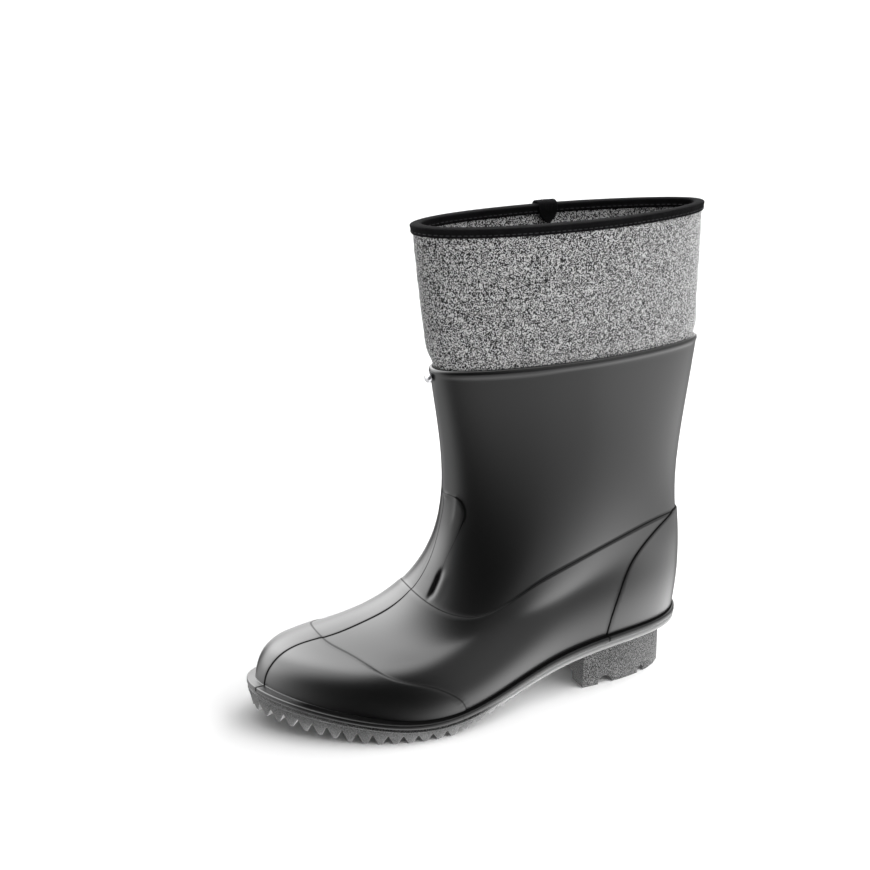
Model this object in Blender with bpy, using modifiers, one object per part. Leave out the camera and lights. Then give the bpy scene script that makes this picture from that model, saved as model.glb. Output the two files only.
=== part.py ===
"""Felt-lined rubber boot for the left foot, in metres, +X to the toe, +Y to the outer side, +Z up.

Tables are written in the last's own frame, with x measured forward from near the heel's back. Every layer
of the boot (rubber, overlays, felt, tape) is the same form taken at another depth below its outer face.
"""
from collections import namedtuple
from math import pi

import bmesh
import bpy
import numpy as np

# Place of the boot's box centre in the last's frame
CENTRE_X = 0.14534
CENTRE_Y = 0.00462

# Driving sizes
GAP = 0.0003                 # clearance between pieces that touch
RUBBER_WALL = 0.0023         # shaft and vamp wall
FOOT_LAYER = 0.0007          # how far the foot's thicker layer stands out below the saddle line
FELT_WALL = 0.0040
FELT_SHOULDER = 0.0007       # depth of the felt's face below the form above the rubber
OVERLAY = 0.0008             # thickness of toe cap, counter, strip and patches
RIM = 0.0045                 # how far the sole's rim stands out past the wall
INSOLE = 0.0040
INSOLE_PLAY = 0.0002         # clearance of the insole beside the felt, on top of GAP
COLUMNS = 40                 # columns around every ring
WALL_START = 0.20            # level at which the wall leaves the flange

# Rim of the sole seen from above
RimPoint = namedtuple("RimPoint", "place x y")
RIM_OUTLINE = (
    RimPoint("heel back", -0.0010, -0.0010),
    RimPoint("heel corner lateral", 0.0085, 0.0195),
    RimPoint("heel lateral", 0.0350, 0.0330),
    RimPoint("waist lateral", 0.1050, 0.0400),
    RimPoint("ball lateral", 0.1900, 0.0595),
    RimPoint("toe lateral", 0.2620, 0.0370),
    RimPoint("toe tip", 0.3000, -0.0160),
    RimPoint("toe medial", 0.2740, -0.0425),
    RimPoint("ball medial", 0.2120, -0.0480),
    RimPoint("waist medial", 0.1150, -0.0325),
    RimPoint("heel medial", 0.0350, -0.0350),
    RimPoint("heel corner medial", 0.0085, -0.0215),
)

# Underside of the outsole plate seen from the side, and the plate's thickness there
SolePoint = namedtuple("SolePoint", "place x z plate")
SOLE_PROFILE = (
    SolePoint("heel back", -0.0025, 0.0305, 0.0045),
    SolePoint("heel middle", 0.0450, 0.0300, 0.0045),
    SolePoint("breast", 0.0770, 0.0268, 0.0045),
    SolePoint("arch", 0.1100, 0.0206, 0.0044),
    SolePoint("waist", 0.1500, 0.0128, 0.0034),
    SolePoint("ball back", 0.1850, 0.0083, 0.0024),
    SolePoint("ball", 0.2150, 0.0081, 0.0022),
    SolePoint("ball front", 0.2400, 0.0110, 0.0024),
    SolePoint("toes", 0.2700, 0.0157, 0.0032),
    SolePoint("toe tip", 0.3000, 0.0220, 0.0042),
)

# Rings of the form from the sole's edge to the collar, seen from the side. A ring runs from its back point to
# its front point. sole is its share of the sole's own bend, and bow says how squarely it leaves the front and
# back profiles.
SideRing = namedtuple("SideRing", "place front_x front_z back_x back_z sole bow")
SIDE_RINGS = (
    SideRing("feather", 0.2940, 0.0272, 0.0025, 0.0365, 1.00, 0.00),
    SideRing("wall low", 0.2921, 0.0350, 0.0010, 0.0470, 0.95, 0.05),
    SideRing("wall mid", 0.2892, 0.0438, -0.0003, 0.0580, 0.85, 0.15),
    SideRing("wall top", 0.2826, 0.0508, -0.0008, 0.0680, 0.70, 0.30),
    SideRing("toe top", 0.2706, 0.0558, -0.0008, 0.0770, 0.52, 0.48),
    SideRing("vamp low", 0.2489, 0.0594, -0.0004, 0.0850, 0.34, 0.66),
    SideRing("vamp high", 0.2207, 0.0655, 0.0000, 0.0930, 0.18, 0.82),
    SideRing("instep low", 0.1971, 0.0782, 0.0004, 0.1020, 0.08, 0.92),
    SideRing("instep high", 0.1807, 0.0987, 0.0016, 0.1120, 0.02, 0.95),
    SideRing("ankle low", 0.1734, 0.1211, 0.0025, 0.1260, 0.00, 0.75),
    SideRing("ankle", 0.1712, 0.1450, 0.0020, 0.1460, 0.00, 0.45),
    SideRing("shin", 0.1725, 0.1720, -0.0020, 0.1720, 0.00, 0.18),
    SideRing("calf", 0.1770, 0.2000, -0.0065, 0.2000, 0.00, 0.05),
    SideRing("rubber top", 0.1818, 0.2270, -0.0100, 0.2270, 0.00, 0.00),
    SideRing("felt low", 0.1850, 0.2460, -0.0090, 0.2460, 0.00, 0.00),
    SideRing("felt mid", 0.1879, 0.2720, -0.0088, 0.2720, 0.00, 0.00),
    SideRing("felt high", 0.1903, 0.2970, -0.0088, 0.2970, 0.00, 0.00),
    SideRing("collar", 0.1914, 0.3160, -0.0088, 0.3160, 0.00, 0.00),
)

# Widths of the same rings. toe_width and heel_width scale the rim outline, lateral and medial are half widths
# of the leg's oval, oval is the share of that oval, and the roundings shape its two ends.
WidthRing = namedtuple("WidthRing", "place front_y toe_width heel_width lateral medial oval"
                                    " front_round back_round")
WIDTH_RINGS = (
    WidthRing("feather", -0.016, 1.00, 1.00, 0.0360, 0.0360, 0.00, 2.0, 2.00),
    WidthRing("wall low", -0.016, 1.01, 1.02, 0.0360, 0.0360, 0.00, 2.0, 2.00),
    WidthRing("wall mid", -0.015, 0.99, 1.03, 0.0360, 0.0360, 0.02, 2.0, 2.00),
    WidthRing("wall top", -0.014, 0.95, 1.03, 0.0360, 0.0360, 0.06, 2.0, 2.00),
    WidthRing("toe top", -0.012, 0.88, 1.02, 0.0360, 0.0360, 0.12, 2.0, 2.00),
    WidthRing("vamp low", -0.010, 0.80, 1.01, 0.0360, 0.0360, 0.22, 2.0, 2.00),
    WidthRing("vamp high", -0.007, 0.73, 1.00, 0.0360, 0.0360, 0.38, 2.0, 2.20),
    WidthRing("instep low", -0.004, 0.68, 0.97, 0.0360, 0.0360, 0.58, 2.0, 2.20),
    WidthRing("instep high", -0.002, 0.66, 0.95, 0.0350, 0.0350, 0.80, 2.0, 2.10),
    WidthRing("ankle low", 0.000, 0.65, 0.93, 0.0340, 0.0340, 0.95, 2.0, 1.90),
    WidthRing("ankle", 0.001, 0.65, 0.90, 0.0320, 0.0320, 1.00, 2.0, 1.70),
    WidthRing("shin", 0.002, 0.65, 0.90, 0.0300, 0.0300, 1.00, 2.1, 1.50),
    WidthRing("calf", 0.003, 0.65, 0.90, 0.0285, 0.0280, 1.00, 2.2, 1.35),
    WidthRing("rubber top", 0.005, 0.65, 0.90, 0.0275, 0.0270, 1.00, 2.3, 1.25),
    WidthRing("felt low", 0.004, 0.65, 0.90, 0.0290, 0.0275, 1.00, 2.4, 1.25),
    WidthRing("felt mid", 0.003, 0.65, 0.90, 0.0310, 0.0280, 1.00, 2.4, 1.25),
    WidthRing("felt high", 0.002, 0.65, 0.90, 0.0325, 0.0285, 1.00, 2.5, 1.25),
    WidthRing("collar", 0.001, 0.65, 0.90, 0.0340, 0.0290, 1.00, 2.5, 1.25),
)
RUBBER_TOP = [ring.place for ring in SIDE_RINGS].index("rubber top")
COLLAR = len(SIDE_RINGS) - 1
HANDLE = 0.33                # handles of a ring's side view, as a share of its length
CREST_HANDLE = 0.028         # handle over the flat top of the toes
WIDTH_BLEND_START = 0.15     # share of the length at which heel_width starts to give way to toe_width
WIDTH_BLEND = 0.50           # share of the length over which it does

# Saddle line, the upper edge of the foot's thicker layer: level reached at each share of the boot's length
SaddlePoint = namedtuple("SaddlePoint", "along level")
SADDLE = (
    SaddlePoint(0.00, 7.75),
    SaddlePoint(0.12, 8.15),
    SaddlePoint(0.27, 8.17),
    SaddlePoint(0.41, 7.99),
    SaddlePoint(0.52, 7.78),
    SaddlePoint(0.605, 7.42),
    SaddlePoint(0.665, 6.90),
    SaddlePoint(0.75, 6.77),
    SaddlePoint(0.90, 6.98),
    SaddlePoint(1.00, 7.10),
)

# Rows of the rubber's mesh, as shares up to the saddle line and from there to its top
FOOT_ROWS = (0.00, 0.04, 0.14, 0.27, 0.41, 0.55, 0.69, 0.81, 0.91, 1.00)
LEG_ROWS = (0.10, 0.20, 0.31, 0.42, 0.55, 0.70, 0.85, 1.00)
CUFF_LEVELS = (0.12, 0.45, 1.20, 2.20, 3.20, 4.00)     # felt rows above the rubber's top
CUFF_SWELL = 0.60                                      # levels over which the felt swells out there

# Overlay edges seen from the side
EdgePoint = namedtuple("EdgePoint", "x z")
TOE_CAP_EDGE = (
    EdgePoint(0.259, 0.072), EdgePoint(0.2568, 0.0578), EdgePoint(0.245, 0.0517), EdgePoint(0.224, 0.0412),
    EdgePoint(0.2003, 0.0344), EdgePoint(0.1885, 0.0282), EdgePoint(0.1805, 0.0207), EdgePoint(0.1775, 0.008),
)
COUNTER_EDGE = (
    EdgePoint(0.006, 0.112), EdgePoint(0.023, 0.1065), EdgePoint(0.038, 0.097), EdgePoint(0.049, 0.085),
    EdgePoint(0.057, 0.0685), EdgePoint(0.063, 0.052), EdgePoint(0.067, 0.036), EdgePoint(0.069, 0.025),
)
PATCH_EDGE = (
    EdgePoint(0.176, 0.1432), EdgePoint(0.166, 0.1412), EdgePoint(0.1625, 0.1335), EdgePoint(0.164, 0.125),
    EdgePoint(0.1686, 0.1125), EdgePoint(0.1735, 0.1020), EdgePoint(0.1768, 0.0945),
)

# Front strip seen from above: its middle and half width
StripPoint = namedtuple("StripPoint", "x middle half")
FRONT_STRIP = (
    StripPoint(0.150, 0.0000, 0.0030), StripPoint(0.172, -0.0010, 0.0030),
    StripPoint(0.186, -0.0030, 0.0065), StripPoint(0.200, -0.0046, 0.0092),
    StripPoint(0.225, -0.0077, 0.0103), StripPoint(0.250, -0.0104, 0.0126),
    StripPoint(0.272, -0.0122, 0.0122), StripPoint(0.290, -0.0150, 0.0134),
    StripPoint(0.310, -0.0160, 0.0130),
)
STRIP_TOP = 0.1420           # height at which the strip stops on the ankle
OVERLAY_LOW = 1              # first foot row of the overlays
STRIP_LEG_ROWS = 5           # leg rows under the strip
PATCH_LEG_ROWS = 5           # leg rows under the ankle patches
FAR = 0.2                    # reach of cutters past the boot

# Steps of the upper's flange above the plate, and of the plate's edge as shares of its thickness
FlangeStep = namedtuple("FlangeStep", "inset lift")
FLANGE_STEPS = (FlangeStep(0.0004, 0.0), FlangeStep(0.0, 0.0008), FlangeStep(0.0, 0.0026),
                FlangeStep(0.0010, 0.0033))
PlateStep = namedtuple("PlateStep", "inset share")
PLATE_STEPS = (PlateStep(0.0014, 0.0), PlateStep(0.0004, 0.20), PlateStep(0.0004, 0.55),
               PlateStep(0.0012, 0.65), PlateStep(0.0012, 1.0))

# Outsole and heel
LUG_HEIGHT = 0.0110
LUG_REST = 0.1880            # behind this place the lugs' tips rise from the floor
LUG_RISE = 0.24              # how steeply they do
LUG_ROOT = 0.0012            # how deep a lug reaches into the plate
LUG_SLOPE = 0.0022           # how far a lug draws in towards its tip
TOOTH_PITCH = 0.0097
TOOTH_START_X = 0.135        # teeth run round the forefoot from here
TOOTH_INSET = 0.0012
TOOTH_DEPTH = 0.0120
TOOTH_BASE = 0.0088
TOOTH_INNER = 0.0032
TOOTH_TIP = 0.0028
BLOCK_PITCH = 0.0215         # inner blocks of the forefoot
BLOCK_FIRST_X = 0.1620
BLOCK_ROWS = 6
BLOCK_LENGTH = 0.0140
BLOCK_TIP = 0.0100
BLOCK_WIDTH = 0.0240         # width that a row is shared out by
BLOCK_GAP = 0.0060
BLOCK_INSET = 0.0185
HEEL_INSET = 0.0050
HEEL_SAMPLES = 72            # points round the whole rim that the heel outline is taken from
HEEL_FORWARD = 0.0060        # how far the heel lies forward under the rim
HEEL_BREAST = 0.0830
HEEL_BACK_CUT = 0.0090
HEEL_BACK_STEP = 0.0040      # how far the floor contact starts inside the heel's back
HEEL_MIDDLE = 0.0080         # middle of the channel along the heel
HEEL_HALF = 0.0340
HEEL_ROOF_STEPS = 25
HEEL_BLANK = 0.0500          # height of the block before the plate's shape is cut from it
HEEL_CHANNEL = 0.0180        # width of the channel
HEEL_CHANNEL_DEPTH = 0.0065
HEEL_CHANNEL_START = 0.0360
HEEL_FAR = 0.0600            # reach of the heel's cutters to each side
HEEL_PAST = 0.0100           # reach of the heel's cutters past its faces
NotchSize = namedtuple("NotchSize", "x width height reach")
HEEL_NOTCHES = (NotchSize(0.0657, 0.0110, 0.0060, 0.0130), NotchSize(0.0360, 0.0055, 0.0045, 0.0110))

# Collar tape and its join, front stud
TAPE = 0.0010
TAPE_HEIGHT = 0.0055
TAPE_BEAD = 0.0004
TAPE_BEAD_DROP = 0.0006
TAPE_SHOULDER = 0.12         # levels between the bead and the flat of the tape
TAPE_ROUND = 0.20            # rounding of the tape's top, as a share of its thickness
JOIN_PLACE = 0.7525          # place around the ring, on the inner side
JOIN_WIDTH = 0.0135
JOIN_WRAP = 0.0012
JOIN_TAIL = 0.42             # levels that the join hangs below the tape inside
STUD_HEIGHT = 0.2205
StudPoint = namedtuple("StudPoint", "radius height")
STUD_PROFILE = (
    StudPoint(0.0, 0.0040), StudPoint(0.0018, 0.0037), StudPoint(0.0030, 0.0027), StudPoint(0.0034, 0.0014),
    StudPoint(0.0034, 0.0009), StudPoint(0.0021, 0.0009), StudPoint(0.0021, 0.0), StudPoint(0.0, 0.0),
)
STUD_STEPS = 14

# Looks of the plain solids
Finish = namedtuple("Finish", "colour roughness metallic")
BLACK_RUBBER = Finish((0.012, 0.012, 0.013), 0.36, 0.0)
SOLE_RUBBER = Finish((0.035, 0.035, 0.036), 0.78, 0.0)
FELT = Finish((0.33, 0.33, 0.33), 0.95, 0.0)
TAPE_CLOTH = Finish((0.006, 0.006, 0.007), 0.70, 0.0)
STEEL = Finish((0.62, 0.62, 0.62), 0.25, 1.0)


def smooth(xs, ys, x):
    """Natural cubic spline through the points (xs, ys), read at x."""
    xs = np.asarray(xs, float)
    ys = np.asarray(ys, float)
    gap = np.diff(xs)
    system = np.diag(np.concatenate([[1], 2 * (gap[:-1] + gap[1:]), [1]]))
    for k in range(1, len(xs) - 1):
        system[k, k - 1], system[k, k + 1] = gap[k - 1], gap[k]
    bend = np.linalg.solve(system, np.concatenate([[0], 6 * np.diff(np.diff(ys) / gap), [0]]))
    i = np.clip(np.searchsorted(xs, x) - 1, 0, len(xs) - 2)
    before, after, step = x - xs[i], xs[i + 1] - x, gap[i]
    curved = (bend[i] * after ** 3 + bend[i + 1] * before ** 3) / (6 * step)
    start = (ys[i] / step - bend[i] * step / 6) * after
    end = (ys[i + 1] / step - bend[i + 1] * step / 6) * before
    return curved + start + end


def ease(t):
    """Smooth step from 0 to 1."""
    t = np.clip(t, 0, 1)
    return t * t * (3 - 2 * t)


def blunt_power(w, power):
    """|w| to a power, from 0 in the middle to 1 at both ends, without a crease in the middle."""
    soft = 0.3
    low = soft ** power
    return ((w * w + soft * soft) ** (power / 2) - low) / ((1 + soft * soft) ** (power / 2) - low)


def sole_under(x):
    """Height of the plate's underside at x."""
    x = np.clip(x, SOLE_PROFILE[0].x, SOLE_PROFILE[-1].x)
    return smooth([p.x for p in SOLE_PROFILE], [p.z for p in SOLE_PROFILE], x)


def sole_top(x):
    """Height of the plate's upper face at x."""
    x = np.clip(x, SOLE_PROFILE[0].x, SOLE_PROFILE[-1].x)
    return sole_under(x) + smooth([p.x for p in SOLE_PROFILE], [p.plate for p in SOLE_PROFILE], x)


def rim_curve(inset, samples=1440):
    """Closed rim outline, moved inwards by inset."""
    points = np.array([(p.x, p.y) for p in RIM_OUTLINE])
    chords = np.linalg.norm(np.roll(points, -1, 0) - points, axis=1)
    knots = np.concatenate([[0], np.cumsum(chords)])
    length = knots[-1]
    three_laps = np.concatenate([knots[:-1] - length, knots[:-1], knots[:-1] + length])
    laps = np.concatenate([points, points, points])
    at = np.linspace(0, length, samples, endpoint=False)
    curve = np.stack([smooth(three_laps, laps[:, axis], at) for axis in (0, 1)], 1)
    along = np.roll(curve, -1, 0) - np.roll(curve, 1, 0)
    outward = np.stack([-along[:, 1], along[:, 0]], 1)
    return curve - inset * outward / np.linalg.norm(outward, axis=1)[:, None]


def ring_share(s):
    """Share of the length (0 back, 1 front) and side (+1 lateral) at ring places s in 0..1."""
    s = np.asarray(s, float) % 1.0
    return 0.5 - 0.5 * np.cos(2 * pi * s), np.where(s <= 0.5, 1.0, -1.0)


RIM_CACHE = {}


def rim_points(s, inset):
    """x and y of the rim, moved inwards by inset, at ring places s."""
    key = round(inset, 7)
    if key not in RIM_CACHE:
        curve = rim_curve(inset)
        back = int(np.argmin(curve[:, 0]))
        curve = np.roll(curve, -back, 0)
        tip = int(np.argmax(curve[:, 0]))
        RIM_CACHE[key] = curve[:tip + 1], np.concatenate([curve[tip:], curve[:1]])[::-1]
    lateral, medial = RIM_CACHE[key]
    share, side = ring_share(s)
    x = lateral[0, 0] + (lateral[-1, 0] - lateral[0, 0]) * share
    lateral_y = np.interp(x, lateral[:, 0], lateral[:, 1])
    medial_y = np.interp(x, medial[:, 0], medial[:, 1])
    return x, np.where(side > 0, lateral_y, medial_y)


def level_values(level):
    """Every column of the two ring tables, read at fractional levels."""
    rows = np.arange(len(SIDE_RINGS))
    return {name: smooth(rows, [getattr(ring, name) for ring in table], level)
            for table in (SIDE_RINGS, WIDTH_RINGS) for name in table[0]._fields[1:]}


def form(level, s, depth=0.0):
    """Points of the boot's form at levels and ring places s, depth below its outer face.

    The side view of a ring is a curve from its back point to its front point. Its width is the rim outline
    near the sole and the leg's oval higher up.
    """
    s = np.asarray(s, float)
    level = np.broadcast_to(np.asarray(level, float), s.shape)
    at = level_values(level)
    small = 1e-3
    low, high = level_values(np.maximum(level - small, 0)), level_values(np.minimum(level + small, COLLAR))

    def normal(x_name, z_name):
        run = np.stack([high[x_name] - low[x_name], high[z_name] - low[z_name]], -1)
        run /= np.linalg.norm(run, axis=-1)[:, None]
        return np.stack([run[:, 1], -run[:, 0]], -1)

    front_normal, back_normal = normal("front_x", "front_z"), normal("back_x", "back_z")
    front = np.stack([at["front_x"], at["front_z"]], -1) - depth * front_normal
    back = np.stack([at["back_x"], at["back_z"]], -1) + depth * back_normal
    span = np.linalg.norm(front - back, axis=-1)
    reach = HANDLE * span
    crest_reach = CREST_HANDLE + (reach - CREST_HANDLE) * front_normal[:, 0] ** 2
    bow = at["bow"][:, None]
    third = (front - back) / 3 * (1 - bow)
    back_handle = back + third + back_normal * reach[:, None] * bow
    front_handle = front - third - front_normal * crest_reach[:, None] * bow
    share, side = ring_share(s)
    t = share[:, None]
    side_view = ((1 - t) ** 3 * back + 3 * (1 - t) ** 2 * t * back_handle
                 + 3 * (1 - t) * t ** 2 * front_handle + t ** 3 * front)

    feather = SIDE_RINGS[0]
    feather_x = feather.back_x + (feather.front_x - feather.back_x) * share
    chord = feather.back_z + (feather.front_z - feather.back_z) * share
    back_error = sole_top(feather.back_x) - feather.back_z
    front_error = sole_top(feather.front_x) - feather.front_z
    bend = sole_top(feather_x) - chord - (1 - share) * back_error - share * front_error

    rim_y = rim_points(s, RIM + depth)[1]
    rounding = np.where(share < 0.5, at["back_round"], at["front_round"])
    half = np.where(side > 0, at["lateral"] - depth, depth - at["medial"])
    bulge = np.sqrt(np.clip(1 - blunt_power(2 * share - 1, rounding), 0, None))
    oval = half * bulge + at["front_y"] * share
    blend = ease((share - WIDTH_BLEND_START) / WIDTH_BLEND)
    width = at["heel_width"] + (at["toe_width"] - at["heel_width"]) * blend
    y = (1 - at["oval"]) * width * rim_y + at["oval"] * oval
    return np.stack([side_view[:, 0], y, side_view[:, 1] + at["sole"] * bend], -1)


RING = np.arange(COLUMNS) / COLUMNS


def saddle_level():
    """Level of the saddle line at each column."""
    share = ring_share(RING)[0]
    return smooth([p.along for p in SADDLE], [p.level for p in SADDLE], share)


def foot_row(share):
    """Levels of the columns at a share of the way from the flange to the saddle line."""
    return WALL_START + (saddle_level() - WALL_START) * share


def leg_row(share):
    """Levels of the columns at a share of the way from the saddle line to the rubber's top."""
    return saddle_level() + (RUBBER_TOP - saddle_level()) * share


def set_down(points, lift):
    """The ring set down on the sole, lift above its upper face."""
    return np.stack([points[:, 0], points[:, 1], sole_top(points[:, 0]) + lift], -1)


def rim_ring(inset, lift, base):
    """Ring along the rim, lift above base, a height function of x."""
    x, y = rim_points(RING, inset)
    return np.stack([x, y, base(x) + lift], -1)


def face_out(bm):
    """Turn a closed mesh's faces outwards."""
    if bm.calc_volume(signed=True) < 0:
        bmesh.ops.reverse_faces(bm, faces=bm.faces)


def add_object(name, bm, collection):
    """Make an object of a mesh in the last's frame, placed with the boot's box centre over the origin."""
    face_out(bm)
    mesh = bpy.data.meshes.new(name)
    bm.to_mesh(mesh)
    bm.free()
    made = bpy.data.objects.new(name, mesh)
    made.location = (-CENTRE_X, -CENTRE_Y, 0)
    collection.objects.link(made)
    return made


def add_band(bm, row, after):
    """Fill between two rings, with diagonals that rise the same way, so that layers stay parallel."""
    rising = sum(v.co.z for v in after) >= sum(v.co.z for v in row)
    for j in range(len(row)):
        k = (j + 1) % len(row)
        if rising:
            bm.faces.new((row[j], row[k], after[k]))
            bm.faces.new((row[j], after[k], after[j]))
        else:
            bm.faces.new((row[j], row[k], after[j]))
            bm.faces.new((row[k], after[k], after[j]))


def add_rings(bm, rings):
    """Add rings of vertices and the faces between each ring and the next."""
    rows = [[bm.verts.new(p) for p in ring] for ring in rings]
    for row, after in zip(rows, rows[1:]):
        add_band(bm, row, after)
    return rows


def tube(name, rings, collection):
    """Hollow solid through rings that run up its outside and down its inside."""
    bm = bmesh.new()
    rows = add_rings(bm, rings)
    add_band(bm, rows[-1], rows[0])
    return add_object(name, bm, collection)


def plate(name, rings, collection):
    """Solid plate through rings from its underside to its upper face, closed by strips across."""
    bm = bmesh.new()
    rows = add_rings(bm, rings)
    half = COLUMNS // 2
    for row in (rows[0], rows[-1]):
        for j in range(half):
            corners = (row[j], row[j + 1], row[(COLUMNS - j - 1) % COLUMNS], row[(COLUMNS - j) % COLUMNS])
            outline = list(dict.fromkeys(corners))
            bm.faces.new(outline if row is rows[-1] else outline[::-1])
    bmesh.ops.recalc_face_normals(bm, faces=bm.faces)
    return add_object(name, bm, collection)


def prism(name, outline, low, high, plane, collection):
    """Cutter: an outline in the side view ("XZ") or from above ("XY"), drawn out between low and high."""
    bm = bmesh.new()

    def spot(a, b, c):
        return (a, c, b) if plane == "XZ" else (a, b, c)

    bottom = [bm.verts.new(spot(a, b, low)) for a, b in outline]
    top = [bm.verts.new(spot(a, b, high)) for a, b in outline]
    bm.faces.new(bottom)
    bm.faces.new(top)
    for j in range(len(outline)):
        k = (j + 1) % len(outline)
        bm.faces.new((bottom[j], bottom[k], top[k], top[j]))
    bmesh.ops.recalc_face_normals(bm, faces=bm.faces)
    return as_cutter(add_object(name, bm, collection))


def as_cutter(made):
    """Mark an object as a cutter."""
    made.hide_render = True
    made.display_type = "WIRE"
    return made


def boolean(made, cutter, operation, solver="EXACT"):
    """Add a boolean to an object."""
    step = made.modifiers.new(operation.title(), "BOOLEAN")
    step.operation = operation
    step.object = cutter
    step.solver = solver


def finish(made, look):
    """Give an object its own material and smooth shading with sharp steps."""
    material = bpy.data.materials.new(made.name)
    material.use_nodes = True
    shader = material.node_tree.nodes["Principled BSDF"]
    shader.inputs["Base Color"].default_value = (*look.colour, 1.0)
    shader.inputs["Roughness"].default_value = look.roughness
    shader.inputs["Metallic"].default_value = look.metallic
    made.data.materials.append(material)
    made.data.shade_smooth()
    made.data.set_sharp_from_angle(angle=pi / 5)


def upper_rings(foot_depth, leg_depth):
    """Rings of the foot and of the leg at two depths, from the flange to the rubber's top."""
    foot = [form(foot_row(share), RING, foot_depth) for share in FOOT_ROWS]
    leg = [form(leg_row(share), RING, leg_depth) for share in LEG_ROWS]
    return foot, leg


def make_upper(collection):
    """Rubber foot and shaft in one wall, with the flange below and the saddle step in its face."""
    flange = [rim_ring(step.inset, GAP + step.lift, sole_top) for step in FLANGE_STEPS]
    foot, leg = upper_rings(-FOOT_LAYER, 0.0)
    ledge = [form(saddle_level(), RING, 0.0)]
    inner_foot, inner_leg = upper_rings(RUBBER_WALL, RUBBER_WALL)
    inside = (inner_foot + inner_leg)[::-1]
    outlet = [set_down(inner_foot[0], GAP)]
    return tube("rubber_upper", flange + foot + ledge + leg + inside + outlet, collection)


def make_liner(collection):
    """Felt sock inside the rubber, standing above it as the top of the shaft."""
    outer_depth = RUBBER_WALL + GAP
    inner_depth = outer_depth + FELT_WALL
    outer_foot, outer_leg = upper_rings(outer_depth, outer_depth)
    inner_foot, inner_leg = upper_rings(inner_depth, inner_depth)
    swell = ease((np.array(CUFF_LEVELS) - CUFF_LEVELS[0]) / CUFF_SWELL) * (FELT_SHOULDER - outer_depth)
    outer_cuff = [form(RUBBER_TOP + rise, RING, outer_depth + out) for rise, out in zip(CUFF_LEVELS, swell)]
    inner_cuff = [form(RUBBER_TOP + rise, RING, inner_depth + out) for rise, out in zip(CUFF_LEVELS, swell)]
    outside = [set_down(outer_foot[0], GAP)] + outer_foot + outer_leg + outer_cuff
    inside = [set_down(inner_foot[0], GAP)] + inner_foot[::2] + inner_leg[1::2] + inner_cuff[1::2]
    return tube("felt_liner", outside + inside[::-1], collection)


def make_insole(collection):
    """Felt footbed inside the liner, on the outsole."""
    depth = RUBBER_WALL + FELT_WALL + 2 * GAP + INSOLE_PLAY
    edge = form(foot_row(FOOT_ROWS[0]), RING, depth)
    return plate("insole", [set_down(edge, GAP), set_down(edge, GAP + INSOLE)], collection)


def make_overlays(parts, cutters):
    """Toe caps, heel counter, front strip and ankle patches, cut from shells just outside the upper."""
    under = FOOT_LAYER + GAP
    foot, _ = upper_rings(-under - OVERLAY, 0.0)
    foot_under, _ = upper_rings(-under, 0.0)
    _, leg = upper_rings(0.0, -GAP - OVERLAY)
    _, leg_under = upper_rings(0.0, -GAP)
    foot, foot_under = foot[OVERLAY_LOW:], foot_under[OVERLAY_LOW:]
    foot_rings = foot + foot_under[::-1]
    strip_rings = foot + leg[:STRIP_LEG_ROWS] + (foot_under + leg_under[:STRIP_LEG_ROWS])[::-1]
    leg_rings = leg[:PATCH_LEG_ROWS] + leg_under[:PATCH_LEG_ROWS][::-1]

    strip_lateral = [(p.x, p.middle + p.half) for p in FRONT_STRIP]
    strip_medial = [(p.x, p.middle - p.half) for p in FRONT_STRIP]
    sides = {"lateral": (strip_lateral, 1), "medial": (strip_medial, -1)}
    beside = {}
    for side, (edge, sign) in sides.items():
        outline = [(x, y + sign * GAP) for x, y in edge]
        outline += [(edge[-1][0], sign * FAR), (edge[0][0], sign * FAR)]
        beside[side] = prism(f"beside_strip_{side}", outline, -FAR, 2 * FAR, "XY", cutters)
    strip_band = prism("strip_band", strip_lateral + strip_medial[::-1], -FAR, STRIP_TOP, "XY", cutters)

    def side_area(name, edge, past):
        outline = [*edge, (past, edge[-1].z), (past, edge[0].z)]
        return prism(name, outline, -FAR, FAR, "XZ", cutters)

    cap_area = side_area("toe_cap_area", TOE_CAP_EDGE, 2 * FAR)
    counter_area = side_area("counter_area", COUNTER_EDGE, -FAR)
    patch_area = side_area("patch_area", PATCH_EDGE, FAR)
    made = []

    def overlay(name, rings, *areas):
        piece = tube(name, rings, parts)
        for area in areas:
            boolean(piece, area, "INTERSECT")
        made.append(piece)

    overlay("front_strip", strip_rings, strip_band)
    overlay("heel_counter", foot_rings, counter_area)
    for side in sides:
        overlay(f"toe_cap_{side}", foot_rings, cap_area, beside[side])
        overlay(f"ankle_patch_{side}", leg_rings, patch_area, beside[side])
    return made


def add_lug(bm, centre, along, length, inner_length, depth, tip, tip_z):
    """Add a lug with its outer face at centre, depth inwards, narrowing from the plate to its tip."""
    along = np.array(along) / np.linalg.norm(along)
    inward = np.array([-along[1], along[0]])
    corners = []
    for at_tip, edge in ((False, length), (True, tip)):
        inner = min(inner_length, tip) if at_tip else inner_length
        slope = LUG_SLOPE if at_tip else 0.0
        for across, size in ((slope, edge), (depth - slope, inner)):
            for end in (-0.5, 0.5):
                x, y = np.array(centre) + inward * across + along * size * end
                z = tip_z if at_tip else float(sole_under(x)) + LUG_ROOT
                corners.append(bm.verts.new((x, y, z)))
    a, b, c, d, e, f, g, h = corners
    for face in ((a, b, d, c), (e, f, h, g), (a, b, f, e), (c, d, h, g), (a, c, g, e), (b, d, h, f)):
        bm.faces.new(face)


def tip_height(x):
    """Height of a lug's tip at x: the floor under the ball, higher under the toes and the waist."""
    return max(0.0, float(sole_under(x)) - LUG_HEIGHT, LUG_RISE * (LUG_REST - x))


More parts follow.
